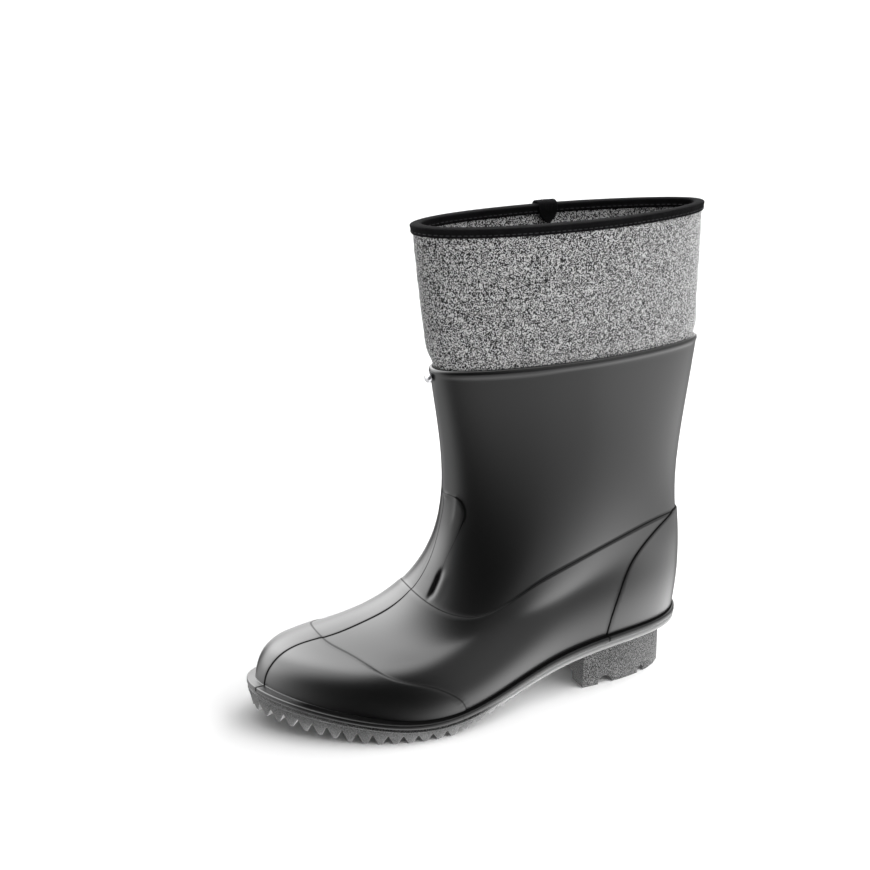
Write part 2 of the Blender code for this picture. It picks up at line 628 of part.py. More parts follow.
def add_teeth(bm):
    """Teeth along the forefoot's rim."""
    curve = rim_curve(TOOTH_INSET)
    forefoot = curve[curve[:, 0] > TOOTH_START_X]
    steps = np.linalg.norm(np.diff(forefoot, axis=0), axis=1)
    run = np.concatenate([[0], np.cumsum(steps)])
    for at in np.arange(TOOTH_PITCH / 2, run[-1], TOOTH_PITCH):
        spots = at + np.array([-TOOTH_PITCH / 4, 0, TOOTH_PITCH / 4])
        behind, place, ahead = np.stack([np.interp(spots, run, forefoot[:, axis]) for axis in (0, 1)], 1)
        tip_z = tip_height(place[0])
        add_lug(bm, place, behind - ahead, TOOTH_BASE, TOOTH_INNER, TOOTH_DEPTH, TOOTH_TIP, tip_z)


def add_blocks(bm):
    """Rows of blocks inside the teeth."""
    inner = rim_curve(BLOCK_INSET)
    for row in range(BLOCK_ROWS):
        x = BLOCK_FIRST_X + row * BLOCK_PITCH
        near = inner[np.abs(inner[:, 0] - x) < 0.5 * BLOCK_LENGTH]
        high, low = near[near[:, 1] > 0.0][:, 1].min(), near[near[:, 1] < 0.0][:, 1].max()
        count = max(1, round((high - low) / BLOCK_WIDTH))
        width = (high - low - (count - 1) * BLOCK_GAP) / count
        for k in range(count):
            edge = low + k * (width + BLOCK_GAP)
            add_lug(bm, (x, edge), (1, 0), BLOCK_LENGTH, BLOCK_LENGTH, width, BLOCK_TIP, tip_height(x))


def make_outsole(parts, cutters):
    """Outsole plate with a stepped edge, teeth along the forefoot and blocks inside them."""
    def side(x, share):
        return sole_under(x) + share * (sole_top(x) - sole_under(x))

    rings = [rim_ring(step.inset, 0.0, lambda x: side(x, step.share)) for step in PLATE_STEPS]
    made = plate("outsole", rings, parts)
    bm = bmesh.new()
    add_teeth(bm)
    add_blocks(bm)
    bmesh.ops.recalc_face_normals(bm, faces=bm.faces)
    boolean(made, as_cutter(add_object("lugs", bm, cutters)), "UNION", "MANIFOLD")
    return made


def make_heel(parts, cutters):
    """Heel block under the plate, with side notches and a channel along its middle."""
    outline = rim_curve(HEEL_INSET, HEEL_SAMPLES) + np.array([HEEL_FORWARD, 0.0])
    outline = outline[outline[:, 0] < HEEL_BREAST]
    start = int(np.argmax(np.linalg.norm(np.diff(outline, axis=0, append=outline[:1]), axis=1))) + 1
    outline = np.roll(outline, -start, 0)
    outline[0, 0] = outline[-1, 0] = HEEL_BREAST
    made = prism("heel_block", outline, 0.0, HEEL_BLANK, "XY", parts)
    made.hide_render = False
    made.display_type = "TEXTURED"
    back, front = float(outline[:, 0].min()), HEEL_BREAST
    past = HEEL_PAST

    def cut(name, shape, low, high, plane):
        boolean(made, prism(name, shape, low, high, plane, cutters), "DIFFERENCE")

    x = np.linspace(back - past, front + past, HEEL_ROOF_STEPS)
    roof = [(a, float(sole_under(a)) - GAP) for a in x]
    roof += [(front + past, HEEL_BLANK + past), (back - past, HEEL_BLANK + past)]
    cut("heel_roof", roof, -HEEL_FAR, HEEL_FAR, "XZ")
    wedge = [(back - past, -past), (back + HEEL_BACK_STEP, -past), (back + HEEL_BACK_STEP, 0.0),
             (back - GAP, HEEL_BACK_CUT), (back - past, HEEL_BACK_CUT)]
    cut("heel_back_cut", wedge, -HEEL_FAR, HEEL_FAR, "XZ")
    low, high = HEEL_MIDDLE - HEEL_CHANNEL / 2, HEEL_MIDDLE + HEEL_CHANNEL / 2
    start, end = HEEL_CHANNEL_START, front + past
    channel = [(start, low), (end, low), (end, high), (start, high)]
    cut("heel_channel", channel, -past, HEEL_CHANNEL_DEPTH, "XY")
    for number, notch in enumerate(HEEL_NOTCHES):
        radius = notch.width / 2
        arch = [(notch.x - radius, -past), (notch.x + radius, -past)]
        bow = np.linspace(0, pi, 7)
        arch += [(notch.x + radius * np.cos(a), notch.height - radius + radius * np.sin(a)) for a in bow]
        for side, sign in (("lateral", 1), ("medial", -1)):
            near, away = sorted((sign * (HEEL_HALF - notch.reach), sign * HEEL_FAR))
            cut(f"heel_notch_{number}_{side}", arch, near, away, "XZ")
    return made


def tape_profile():
    """Depth, level and lift of the points round the tape's section, which straddles the felt's top edge."""
    outer, inner = FELT_SHOULDER - GAP, FELT_SHOULDER + FELT_WALL + GAP
    foot = COLLAR - TAPE_HEIGHT / (SIDE_RINGS[COLLAR].front_z - SIDE_RINGS[COLLAR - 1].front_z)
    shoulder, bead, round_off = COLLAR - TAPE_SHOULDER, TAPE + TAPE_BEAD, TAPE_ROUND * TAPE
    return (
        (outer, foot, 0.0), (outer - TAPE, foot, 0.0), (outer - TAPE, shoulder, 0.0),
        (outer - bead, COLLAR, -TAPE_BEAD_DROP), (outer - round_off, COLLAR, GAP + TAPE),
        (inner + round_off, COLLAR, GAP + TAPE), (inner + bead, COLLAR, -TAPE_BEAD_DROP),
        (inner + TAPE, shoulder, 0.0), (inner + TAPE, foot, 0.0), (inner, foot, 0.0),
        (inner, COLLAR, GAP), (outer, COLLAR, GAP),
    )


def lifted(level, s, depth, lift):
    """Form points raised by lift."""
    return form(level, s, depth) + np.array([0, 0, lift])


def make_tape(collection):
    """Black tape folded over the felt's top edge."""
    rings = [lifted(level, RING, depth, lift) for depth, level, lift in tape_profile()]
    return tube("collar_binding", rings, collection)


def make_join(collection):
    """Wrapped lump where the tape's ends meet, a saddle over the tape on the inner side."""
    section = tape_profile()
    bead = GAP + TAPE_BEAD
    outer, inner = section[1][0] - bead, section[8][0] + bead
    foot, lift = section[0][1], section[4][2] + GAP
    wrap, tail = JOIN_WRAP, foot - JOIN_TAIL
    profile = ((outer, foot, 0.0), (outer - wrap, foot, 0.0), (outer - wrap, COLLAR, lift),
               (outer, COLLAR, lift + wrap), (inner, COLLAR, lift + wrap), (inner + wrap, COLLAR, lift),
               (inner + wrap, tail, 0.0), (inner, tail, 0.0), (inner, COLLAR, lift), (outer, COLLAR, lift))
    length = pi * (SIDE_RINGS[COLLAR].front_x - SIDE_RINGS[COLLAR].back_x)
    places = JOIN_PLACE + np.array([-0.5, 0.0, 0.5]) * JOIN_WIDTH / length
    bm = bmesh.new()
    sections = []
    for s in places:
        points = [lifted(level, np.array([s]), depth, rise)[0] for depth, level, rise in profile]
        sections.append([bm.verts.new(p) for p in points])
    for here, after in zip(sections, sections[1:]):
        for j in range(len(profile)):
            k = (j + 1) % len(profile)
            bm.faces.new((here[j], here[k], after[k], after[j]))
    for end in (sections[0], sections[-1]):
        bm.faces.new(end)
    bmesh.ops.recalc_face_normals(bm, faces=bm.faces)
    bmesh.ops.triangulate(bm, faces=bm.faces)
    return add_object("binding_join", bm, collection)


def make_stud(collection):
    """Round-headed stud on the front of the rubber, just under its top edge."""
    bm = bmesh.new()
    corners = [bm.verts.new((point.radius, 0, point.height)) for point in STUD_PROFILE]
    for start, end in zip(corners, corners[1:]):
        bm.edges.new((start, end))
    mesh = bpy.data.meshes.new("front_rivet")
    bm.to_mesh(mesh)
    bm.free()
    made = bpy.data.objects.new("front_rivet", mesh)
    turn = made.modifiers.new("Turn", "SCREW")
    turn.steps = turn.render_steps = STUD_STEPS
    turn.use_merge_vertices = True
    turn.merge_threshold = 0.00001
    heights = [ring.front_z for ring in SIDE_RINGS[RUBBER_TOP - 1:RUBBER_TOP + 1]]
    level = RUBBER_TOP - 1 + (STUD_HEIGHT - heights[0]) / (heights[1] - heights[0])
    seat = form(level, np.array([0.5]))[0]
    made.location = (seat[0] + GAP - CENTRE_X, seat[1] - CENTRE_Y, seat[2])
    made.rotation_euler = (0, pi / 2, 0)
    collection.objects.link(made)
    return made


def main():
    for old in list(bpy.data.objects):
        bpy.data.objects.remove(old, do_unlink=True)
    parts = bpy.data.collections.new("rubber_boot")
    cutters = bpy.data.collections.new("rubber_boot_cutters")
    for collection in (parts, cutters):
        bpy.context.scene.collection.children.link(collection)

    finish(make_upper(parts), BLACK_RUBBER)
    for piece in make_overlays(parts, cutters):
        finish(piece, BLACK_RUBBER)
    finish(make_outsole(parts, cutters), SOLE_RUBBER)
    finish(make_heel(parts, cutters), SOLE_RUBBER)
    finish(make_liner(parts), FELT)
    finish(make_insole(parts), FELT)
    finish(make_tape(parts), TAPE_CLOTH)
    finish(make_join(parts), TAPE_CLOTH)
    finish(make_stud(parts), STEEL)


main()
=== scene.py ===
"""Looks of a felt-lined rubber boot for the left foot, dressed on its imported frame.

Sizes are metres in the frame's axes: +X to the toe, +Y to the outer side, +Z up. The form of the boot is
written on its last, whose x runs forward from near the heel's back, and Last.place sets it over the frame's
origin.
"""
import logging
from dataclasses import dataclass
from enum import Enum
from math import cos, pi, radians, sin
from typing import Callable, NamedTuple, Optional, Sequence, Union

import bpy
import numpy as np
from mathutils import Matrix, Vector

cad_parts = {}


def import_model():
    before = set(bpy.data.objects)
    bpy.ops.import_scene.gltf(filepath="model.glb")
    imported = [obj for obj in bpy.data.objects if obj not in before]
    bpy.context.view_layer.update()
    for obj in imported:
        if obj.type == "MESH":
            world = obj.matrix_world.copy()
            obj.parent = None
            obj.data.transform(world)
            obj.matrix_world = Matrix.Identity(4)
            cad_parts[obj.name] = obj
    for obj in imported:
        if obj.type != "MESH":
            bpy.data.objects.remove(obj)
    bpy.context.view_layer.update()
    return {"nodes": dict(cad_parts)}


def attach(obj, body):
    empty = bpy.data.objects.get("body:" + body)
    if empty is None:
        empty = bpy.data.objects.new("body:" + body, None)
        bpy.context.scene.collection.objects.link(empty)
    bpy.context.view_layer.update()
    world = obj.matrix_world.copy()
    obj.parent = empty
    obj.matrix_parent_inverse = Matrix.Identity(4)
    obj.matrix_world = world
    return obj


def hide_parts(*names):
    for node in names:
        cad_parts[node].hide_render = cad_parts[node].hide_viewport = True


LOG = logging.getLogger("boot")
Array = np.ndarray
Socket = bpy.types.NodeSocket
Value = Union[float, Socket]


class RimPoint(NamedTuple):
    """A point of the sole's rim seen from above."""

    place: str
    x: float
    y: float


class SolePoint(NamedTuple):
    """A point of the plate's underside seen from the side, and the plate's thickness there."""

    place: str
    x: float
    z: float
    plate: float


class SideRing(NamedTuple):
    """A ring of the form seen from the side, with its share of the sole's bend and the bow of its ends."""

    place: str
    front_x: float
    front_z: float
    back_x: float
    back_z: float
    sole: float
    bow: float


class WidthRing(NamedTuple):
    """Widths of a ring, and where its front lies across the boot.

    The two scales are for the rim's outline. The rest is the leg's oval: its half widths, its share and how
    its two ends are rounded.
    """

    place: str
    front_y: float
    toe_width: float
    heel_width: float
    lateral: float
    medial: float
    oval: float
    front_round: float
    back_round: float


class Along(NamedTuple):
    """A value at a place along a line."""

    at: float
    value: float


class EdgePoint(NamedTuple):
    """A point of a panel's edge seen from the side."""

    x: float
    z: float


class SectionPoint(NamedTuple):
    """A point of the section round the rim: how far it lies inside the rim, and its lift."""

    inset: float
    lift: float


RIM_OUTLINE = (
    RimPoint("heel back", -0.0010, -0.0010),
    RimPoint("heel corner lateral", 0.0085, 0.0195),
    RimPoint("heel lateral", 0.0350, 0.0330),
    RimPoint("waist lateral", 0.1050, 0.0400),
    RimPoint("ball lateral", 0.1900, 0.0595),
    RimPoint("toe lateral", 0.2620, 0.0370),
    RimPoint("toe tip", 0.3000, -0.0160),
    RimPoint("toe medial", 0.2740, -0.0425),
    RimPoint("ball medial", 0.2120, -0.0480),
    RimPoint("waist medial", 0.1150, -0.0325),
    RimPoint("heel medial", 0.0350, -0.0350),
    RimPoint("heel corner medial", 0.0085, -0.0215),
)
SOLE_PROFILE = (
    SolePoint("heel back", -0.0025, 0.0305, 0.0045),
    SolePoint("heel middle", 0.0450, 0.0300, 0.0045),
    SolePoint("breast", 0.0770, 0.0268, 0.0045),
    SolePoint("arch", 0.1100, 0.0206, 0.0044),
    SolePoint("waist", 0.1500, 0.0128, 0.0034),
    SolePoint("ball back", 0.1850, 0.0083, 0.0024),
    SolePoint("ball", 0.2150, 0.0081, 0.0022),
    SolePoint("ball front", 0.2400, 0.0110, 0.0024),
    SolePoint("toes", 0.2700, 0.0157, 0.0032),
    SolePoint("toe tip", 0.3000, 0.0220, 0.0042),
)
SIDE_RINGS = (
    SideRing("feather", 0.2940, 0.0272, 0.0025, 0.0365, 1.00, 0.00),
    SideRing("wall low", 0.2921, 0.0350, 0.0010, 0.0470, 0.95, 0.05),
    SideRing("wall mid", 0.2892, 0.0438, -0.0003, 0.0580, 0.85, 0.15),
    SideRing("wall top", 0.2826, 0.0508, -0.0008, 0.0680, 0.70, 0.30),
    SideRing("toe top", 0.2706, 0.0558, -0.0008, 0.0770, 0.52, 0.48),
    SideRing("vamp low", 0.2489, 0.0594, -0.0004, 0.0850, 0.34, 0.66),
    SideRing("vamp high", 0.2207, 0.0655, 0.0000, 0.0930, 0.18, 0.82),
    SideRing("instep low", 0.1971, 0.0782, 0.0004, 0.1020, 0.08, 0.92),
    SideRing("instep high", 0.1807, 0.0987, 0.0016, 0.1120, 0.02, 0.95),
    SideRing("ankle low", 0.1734, 0.1211, 0.0025, 0.1260, 0.00, 0.75),
    SideRing("ankle", 0.1712, 0.1450, 0.0020, 0.1460, 0.00, 0.45),
    SideRing("shin", 0.1725, 0.1720, -0.0020, 0.1720, 0.00, 0.18),
    SideRing("calf", 0.1770, 0.2000, -0.0065, 0.2000, 0.00, 0.05),
    SideRing("rubber top", 0.1818, 0.2270, -0.0100, 0.2270, 0.00, 0.00),
    SideRing("felt low", 0.1850, 0.2460, -0.0090, 0.2460, 0.00, 0.00),
    SideRing("felt mid", 0.1879, 0.2720, -0.0088, 0.2720, 0.00, 0.00),
    SideRing("felt high", 0.1903, 0.2970, -0.0088, 0.2970, 0.00, 0.00),
    SideRing("collar", 0.1914, 0.3160, -0.0088, 0.3160, 0.00, 0.00),
)
WIDTH_RINGS = (
    WidthRing("feather", -0.016, 1.00, 1.00, 0.0360, 0.0360, 0.00, 2.0, 2.00),
    WidthRing("wall low", -0.016, 1.01, 1.02, 0.0360, 0.0360, 0.00, 2.0, 2.00),
    WidthRing("wall mid", -0.015, 0.99, 1.03, 0.0360, 0.0360, 0.02, 2.0, 2.00),
    WidthRing("wall top", -0.014, 0.95, 1.03, 0.0360, 0.0360, 0.06, 2.0, 2.00),
    WidthRing("toe top", -0.012, 0.88, 1.02, 0.0360, 0.0360, 0.12, 2.0, 2.00),
    WidthRing("vamp low", -0.010, 0.80, 1.01, 0.0360, 0.0360, 0.22, 2.0, 2.00),
    WidthRing("vamp high", -0.007, 0.73, 1.00, 0.0360, 0.0360, 0.38, 2.0, 2.20),
    WidthRing("instep low", -0.004, 0.68, 0.97, 0.0360, 0.0360, 0.58, 2.0, 2.20),
    WidthRing("instep high", -0.002, 0.66, 0.95, 0.0350, 0.0350, 0.80, 2.0, 2.10),
    WidthRing("ankle low", 0.000, 0.65, 0.93, 0.0340, 0.0340, 0.95, 2.0, 1.90),
    WidthRing("ankle", 0.001, 0.65, 0.90, 0.0320, 0.0320, 1.00, 2.0, 1.70),
    WidthRing("shin", 0.002, 0.65, 0.90, 0.0300, 0.0300, 1.00, 2.1, 1.50),
    WidthRing("calf", 0.003, 0.65, 0.90, 0.0285, 0.0280, 1.00, 2.2, 1.35),
    WidthRing("rubber top", 0.005, 0.65, 0.90, 0.0275, 0.0270, 1.00, 2.3, 1.25),
    WidthRing("felt low", 0.004, 0.65, 0.90, 0.0290, 0.0275, 1.00, 2.4, 1.25),
    WidthRing("felt mid", 0.003, 0.65, 0.90, 0.0310, 0.0280, 1.00, 2.4, 1.25),
    WidthRing("felt high", 0.002, 0.65, 0.90, 0.0325, 0.0285, 1.00, 2.5, 1.25),
    WidthRing("collar", 0.001, 0.65, 0.90, 0.0340, 0.0290, 1.00, 2.5, 1.25),
)
RUBBER_TOP = [ring.place for ring in SIDE_RINGS].index("rubber top")
COLLAR = len(SIDE_RINGS) - 1

# Saddle line: level reached at each share of the boot's length
SADDLE = (
    Along(0.00, 7.75), Along(0.12, 8.15), Along(0.27, 8.17), Along(0.41, 7.99), Along(0.52, 7.78),
    Along(0.605, 7.42), Along(0.665, 6.90), Along(0.75, 6.77), Along(0.90, 6.98), Along(1.00, 7.10),
)
# Front strip: half width at each level
STRIP_HALF = (
    Along(0.0, 0.0140), Along(1.0, 0.0137), Along(2.0, 0.0140), Along(3.0, 0.0138), Along(4.0, 0.0124),
    Along(5.0, 0.0125), Along(5.7, 0.0106), Along(6.4, 0.0094), Along(7.0, 0.0080), Along(7.6, 0.0062),
    Along(8.3, 0.0036), Along(9.1, 0.0014), Along(9.9, 0.0008), Along(10.3, -0.0030), Along(13.0, -0.0200),
)
TOE_CAP_EDGE = (
    EdgePoint(0.259, 0.072), EdgePoint(0.2568, 0.0578), EdgePoint(0.245, 0.0517), EdgePoint(0.224, 0.0412),
    EdgePoint(0.2003, 0.0344), EdgePoint(0.1885, 0.0282), EdgePoint(0.1805, 0.0207),
    EdgePoint(0.1775, 0.008),
)
COUNTER_EDGE = (
    EdgePoint(0.006, 0.112), EdgePoint(0.023, 0.1065), EdgePoint(0.038, 0.097), EdgePoint(0.049, 0.085),
    EdgePoint(0.057, 0.0685), EdgePoint(0.063, 0.052), EdgePoint(0.067, 0.036), EdgePoint(0.069, 0.025),
)
PATCH_EDGE = (
    EdgePoint(0.176, 0.1432), EdgePoint(0.166, 0.1412), EdgePoint(0.1625, 0.1335), EdgePoint(0.164, 0.125),
    EdgePoint(0.1686, 0.1125), EdgePoint(0.1735, 0.1020), EdgePoint(0.1768, 0.0945),
)

# Crease at the bend of the ankle on the outer side
CREASE = (
    EdgePoint(0.1767, 0.0945), EdgePoint(0.1799, 0.0884),
    EdgePoint(0.1830, 0.0830), EdgePoint(0.1872, 0.0769),
)
# Tab over the strip's upper end: its place and its reach along each axis
TAB = (0.1708, 0.0044, 0.1419)
TAB_REACH = (0.0030, 0.0030, 0.0016)

# Flange of the upper, with lifts over the gap above the plate
FLANGE = (
    SectionPoint(0.0008, 0.0000), SectionPoint(0.0003, 0.0001), SectionPoint(0.0000, 0.0005),
    SectionPoint(0.0000, 0.0014), SectionPoint(0.0000, 0.0025), SectionPoint(0.0001, 0.0030),
    SectionPoint(0.0005, 0.0033), SectionPoint(0.0012, 0.0034),
)
# Stepped edge of the plate, with lifts as shares of its thickness
PLATE_EDGE = (
    SectionPoint(0.0016, 0.00), SectionPoint(0.0009, 0.06), SectionPoint(0.0005, 0.18),
    SectionPoint(0.0004, 0.30), SectionPoint(0.0004, 0.52), SectionPoint(0.0006, 0.60),
    SectionPoint(0.0012, 0.64), SectionPoint(0.0012, 0.80), SectionPoint(0.0013, 1.00),
)

# Indices of a mix node's factor, first value, second value and result, for each kind of value
MIX_SOCKETS = {"FLOAT": (0, 2, 3, 0), "RGBA": (0, 6, 7, 2)}
BEVEL_ANGLE = radians(28)
SMOOTH_ANGLE = radians(40)


def spline(xs: Sequence[float], ys: Sequence[float], x: Array) -> Array:
    """Read a natural cubic spline.

    Args:
        xs: Places of the points, rising.
        ys: Values at those places.
        x: Where to read it.

    Returns:
        The spline's values at x.
    """
    xs, ys = np.asarray(xs, float), np.asarray(ys, float)
    gap = np.diff(xs)
    system = np.diag(np.concatenate([[1], 2 * (gap[:-1] + gap[1:]), [1]]))
    for k in range(1, len(xs) - 1):
        system[k, k - 1], system[k, k + 1] = gap[k - 1], gap[k]
    bend = np.linalg.solve(system, np.concatenate([[0], 6 * np.diff(np.diff(ys) / gap), [0]]))
    i = np.clip(np.searchsorted(xs, x) - 1, 0, len(xs) - 2)
    before, after, step = x - xs[i], xs[i + 1] - x, gap[i]
    curved = (bend[i] * after ** 3 + bend[i + 1] * before ** 3) / (6 * step)
    start = (ys[i] / step - bend[i] * step / 6) * after
    end = (ys[i + 1] / step - bend[i + 1] * step / 6) * before
    return curved + start + end


def along(table: Sequence[Along], at: Array) -> Array:
    """Read a table of Along rows smoothly at given places."""
    places = [row.at for row in table]
    return spline(places, [row.value for row in table], np.clip(at, places[0], places[-1]))


def ease(t: Array) -> Array:
    """Smooth step from 0 to 1."""
    t = np.clip(t, 0, 1)
    return t * t * (3 - 2 * t)


class Fade(NamedTuple):
    """A change that starts at a place and is full after a stretch, which is negative where it runs back."""

    start: float
    stretch: float
    full: float = 1.0

    def at(self, place: Array) -> Array:
        """How much of the change is reached at a place."""
        return self.full * ease((place - self.start) / self.stretch)


def ring_places(columns: int) -> Array:
    """Evenly spread places once around a ring."""
    return np.arange(columns) / columns


@dataclass(frozen=True)
class Last:
    """The form that every layer of the boot follows, at one depth or another below its outer face."""

    centre_x: float = 0.14534
    centre_y: float = 0.00462
    rim: float = 0.0045
    handle: float = 0.33
    crest_handle: float = 0.028
    width_blend: Fade = Fade(0.15, 0.50)
    wall_start: float = 0.20
    rim_samples: int = 1440
    blunt: float = 0.3
    level_probe: float = 1e-3

    def place(self, points: Array) -> Array:
        """Set points of the last over the frame's origin."""
        return points - np.array([self.centre_x, self.centre_y, 0.0])

    def sole_under(self, x: Array) -> Array:
        """Height of the plate's underside at x."""
        x = np.clip(x, SOLE_PROFILE[0].x, SOLE_PROFILE[-1].x)
        return spline([p.x for p in SOLE_PROFILE], [p.z for p in SOLE_PROFILE], x)

    def sole_top(self, x: Array) -> Array:
        """Height of the plate's upper face at x."""
        x = np.clip(x, SOLE_PROFILE[0].x, SOLE_PROFILE[-1].x)
        return self.sole_under(x) + spline([p.x for p in SOLE_PROFILE], [p.plate for p in SOLE_PROFILE], x)

    def rim_curve(self, inset: float) -> Array:
        """Trace the rim outline.

        Args:
            inset: How far the outline is moved inwards.

        Returns:
            Points (x, y) once around the rim.
        """
        points = np.array([(p.x, p.y) for p in RIM_OUTLINE])
        chords = np.linalg.norm(np.roll(points, -1, 0) - points, axis=1)
        knots = np.concatenate([[0], np.cumsum(chords)])
        length = knots[-1]
        laps = np.concatenate([knots[:-1] - length, knots[:-1], knots[:-1] + length])
        at = np.linspace(0, length, self.rim_samples, endpoint=False)
        curve = np.stack([spline(laps, np.tile(points[:, axis], 3), at) for axis in (0, 1)], 1)
        run = np.roll(curve, -1, 0) - np.roll(curve, 1, 0)
        outward = np.stack([-run[:, 1], run[:, 0]], 1)
        return curve - inset * outward / np.linalg.norm(outward, axis=1)[:, None]

    def share(self, s: Array) -> tuple[Array, Array]:
        """Turn ring places into places along the boot.

        Args:
            s: Places around a ring, 0 to 1 from the back, over the outer side first.

        Returns:
            Share of the length (0 back, 1 front), and side (+1 outer, -1 inner).
        """
        s = np.asarray(s, float) % 1.0
        return 0.5 - 0.5 * np.cos(2 * pi * s), np.where(s <= 0.5, 1.0, -1.0)

    def rim_points(self, s: Array, inset: float) -> tuple[Array, Array]:
        """Read the rim at ring places.

        Args:
            s: Places around the ring.
            inset: How far the rim is moved inwards.

        Returns:
            x and y of the rim.
        """
        curve = self.rim_curve(inset)
        curve = np.roll(curve, -int(np.argmin(curve[:, 0])), 0)
        tip = int(np.argmax(curve[:, 0]))
        outer, inner = curve[:tip + 1], np.concatenate([curve[tip:], curve[:1]])[::-1]
        share, side = self.share(s)
        x = outer[0, 0] + (outer[-1, 0] - outer[0, 0]) * share
        outer_y, inner_y = np.interp(x, outer[:, 0], outer[:, 1]), np.interp(x, inner[:, 0], inner[:, 1])
        return x, np.where(side > 0, outer_y, inner_y)

    def ring_values(self, level: Array) -> dict[str, Array]:
        """Read every column of the two ring tables at fractional levels.

        Args:
            level: Levels between the feather edge and the collar.

        Returns:
            Values of each column, by its name.
        """
        rows = np.arange(len(SIDE_RINGS))
        return {name: spline(rows, [getattr(ring, name) for ring in table], level)
                for table in (SIDE_RINGS, WIDTH_RINGS) for name in table[0]._fields[1:]}

    def bulge(self, share: Array, power: Array) -> Array:
        """Half width of an oval along its length, 1 in the middle and 0 at both ends.

        Args:
            share: Share of the oval's length.
            power: How square its end is.

        Returns:
            Half widths as shares of the largest.
        """
        w, soft = 2 * share - 1, self.blunt
        low = soft ** power
        reach = ((w * w + soft * soft) ** (power / 2) - low) / ((1 + soft * soft) ** (power / 2) - low)
        return np.sqrt(np.clip(1 - reach, 0, None))

    def form(self, level: Array, s: Array, depth: float = 0.0) -> Array:
        """Work out points of the boot's form.

        Args:
            level: Levels between the sole's feather edge (0) and the collar.
            s: Places around the rings, of the same shape.
            depth: How far below the outer face the layer lies.

        Returns:
            Points in the last's frame, with a last axis of 3.
        """
        shape = np.broadcast(level, s).shape
        level = np.broadcast_to(np.asarray(level, float), shape).ravel()
        s = np.broadcast_to(np.asarray(s, float), shape).ravel()
        at = self.ring_values(level)
        low = self.ring_values(np.maximum(level - self.level_probe, 0))
        high = self.ring_values(np.minimum(level + self.level_probe, COLLAR))

        def normal(x_name: str, z_name: str) -> Array:
            """Unit normals of one end of the rings in the side view.

            Args:
                x_name: Column of the end's x.
                z_name: Column of the end's z.

            Returns:
                One normal for each level.
            """
            run = np.stack([high[x_name] - low[x_name], high[z_name] - low[z_name]], -1)
            run /= np.linalg.norm(run, axis=-1)[:, None]
            return np.stack([run[:, 1], -run[:, 0]], -1)

        front_normal, back_normal = normal("front_x", "front_z"), normal("back_x", "back_z")
        front = np.stack([at["front_x"], at["front_z"]], -1) - depth * front_normal
        back = np.stack([at["back_x"], at["back_z"]], -1) + depth * back_normal
        reach = self.handle * np.linalg.norm(front - back, axis=-1)
        crest_reach = self.crest_handle + (reach - self.crest_handle) * front_normal[:, 0] ** 2
        bow = at["bow"][:, None]
        third = (front - back) / 3 * (1 - bow)
        back_handle = back + third + back_normal * reach[:, None] * bow
        front_handle = front - third - front_normal * crest_reach[:, None] * bow
        share, side = self.share(s)
        t = share[:, None]
        side_view = ((1 - t) ** 3 * back + 3 * (1 - t) ** 2 * t * back_handle
                     + 3 * (1 - t) * t ** 2 * front_handle + t ** 3 * front)

        feather = SIDE_RINGS[0]
        feather_x = feather.back_x + (feather.front_x - feather.back_x) * share
        chord = feather.back_z + (feather.front_z - feather.back_z) * share
        back_error = self.sole_top(np.array(feather.back_x)) - feather.back_z
        front_error = self.sole_top(np.array(feather.front_x)) - feather.front_z
        bend = self.sole_top(feather_x) - chord - (1 - share) * back_error - share * front_error

        rim_y = self.rim_points(s, self.rim + depth)[1]
        power = np.where(share < 0.5, at["back_round"], at["front_round"])
        half = np.where(side > 0, at["lateral"] - depth, depth - at["medial"])
        oval = half * self.bulge(share, power) + at["front_y"] * share
        width = at["heel_width"] + (at["toe_width"] - at["heel_width"]) * self.width_blend.at(share)
        y = (1 - at["oval"]) * width * rim_y + at["oval"] * oval
        return np.stack([side_view[:, 0], y, side_view[:, 1] + at["sole"] * bend], -1).reshape(*shape, 3)

    def front_middle(self, level: Array) -> Array:
        """Place across the boot of the rings' fronts at given levels."""
        return self.ring_values(level.ravel())["front_y"].reshape(level.shape)

    def saddle(self, s: Array) -> Array:
        """Level of the saddle line at ring places."""
        return along(SADDLE, self.share(s)[0])

    def rim_ring(self, s: Array, inset: float, lift: float) -> Array:
        """Points along the rim, lift above the plate's upper face."""
        x, y = self.rim_points(s, inset)
        return np.stack([x, y, self.sole_top(x) + lift], -1)

    def set_down(self, points: Array, lift: float) -> Array:
        """Set a ring down on the plate, lift above its upper face."""
        return np.stack([points[..., 0], points[..., 1], self.sole_top(points[..., 0]) + lift], -1)


def edge_distance(points: Array, edge: Sequence[EdgePoint], samples: int = 80) -> Array:
    """Measure how far points lie from a panel's edge in the side view.

    Args:
        points: Points of the last, with a last axis of 3.
        edge: The edge from its upper end down.
        samples: Number of points that the smoothed edge is drawn with.

    Returns:
        Distances, positive to the front of the edge.
    """
    corners = np.array(edge)
    run = np.concatenate([[0], np.cumsum(np.linalg.norm(np.diff(corners, axis=0), axis=1))])
    at = np.linspace(0, run[-1], samples)
    line = np.stack([spline(run, corners[:, axis], at) for axis in (0, 1)], 1)
    flat = points.reshape(-1, 3)[:, (0, 2)]
    best = np.full(len(flat), np.inf)
    signed = np.zeros(len(flat))
    for start, end in zip(line, line[1:]):
        step = end - start
        t = np.clip(((flat - start) @ step) / (step @ step), 0, 1)
        away = flat - start - t[:, None] * step
        distance = np.linalg.norm(away, axis=1)
        side = np.sign(away[:, 1] * step[0] - away[:, 0] * step[1])
        nearer = distance < best
        signed = np.where(nearer, side * distance, signed)
        best = np.minimum(best, distance)
    return signed.reshape(points.shape[:-1])


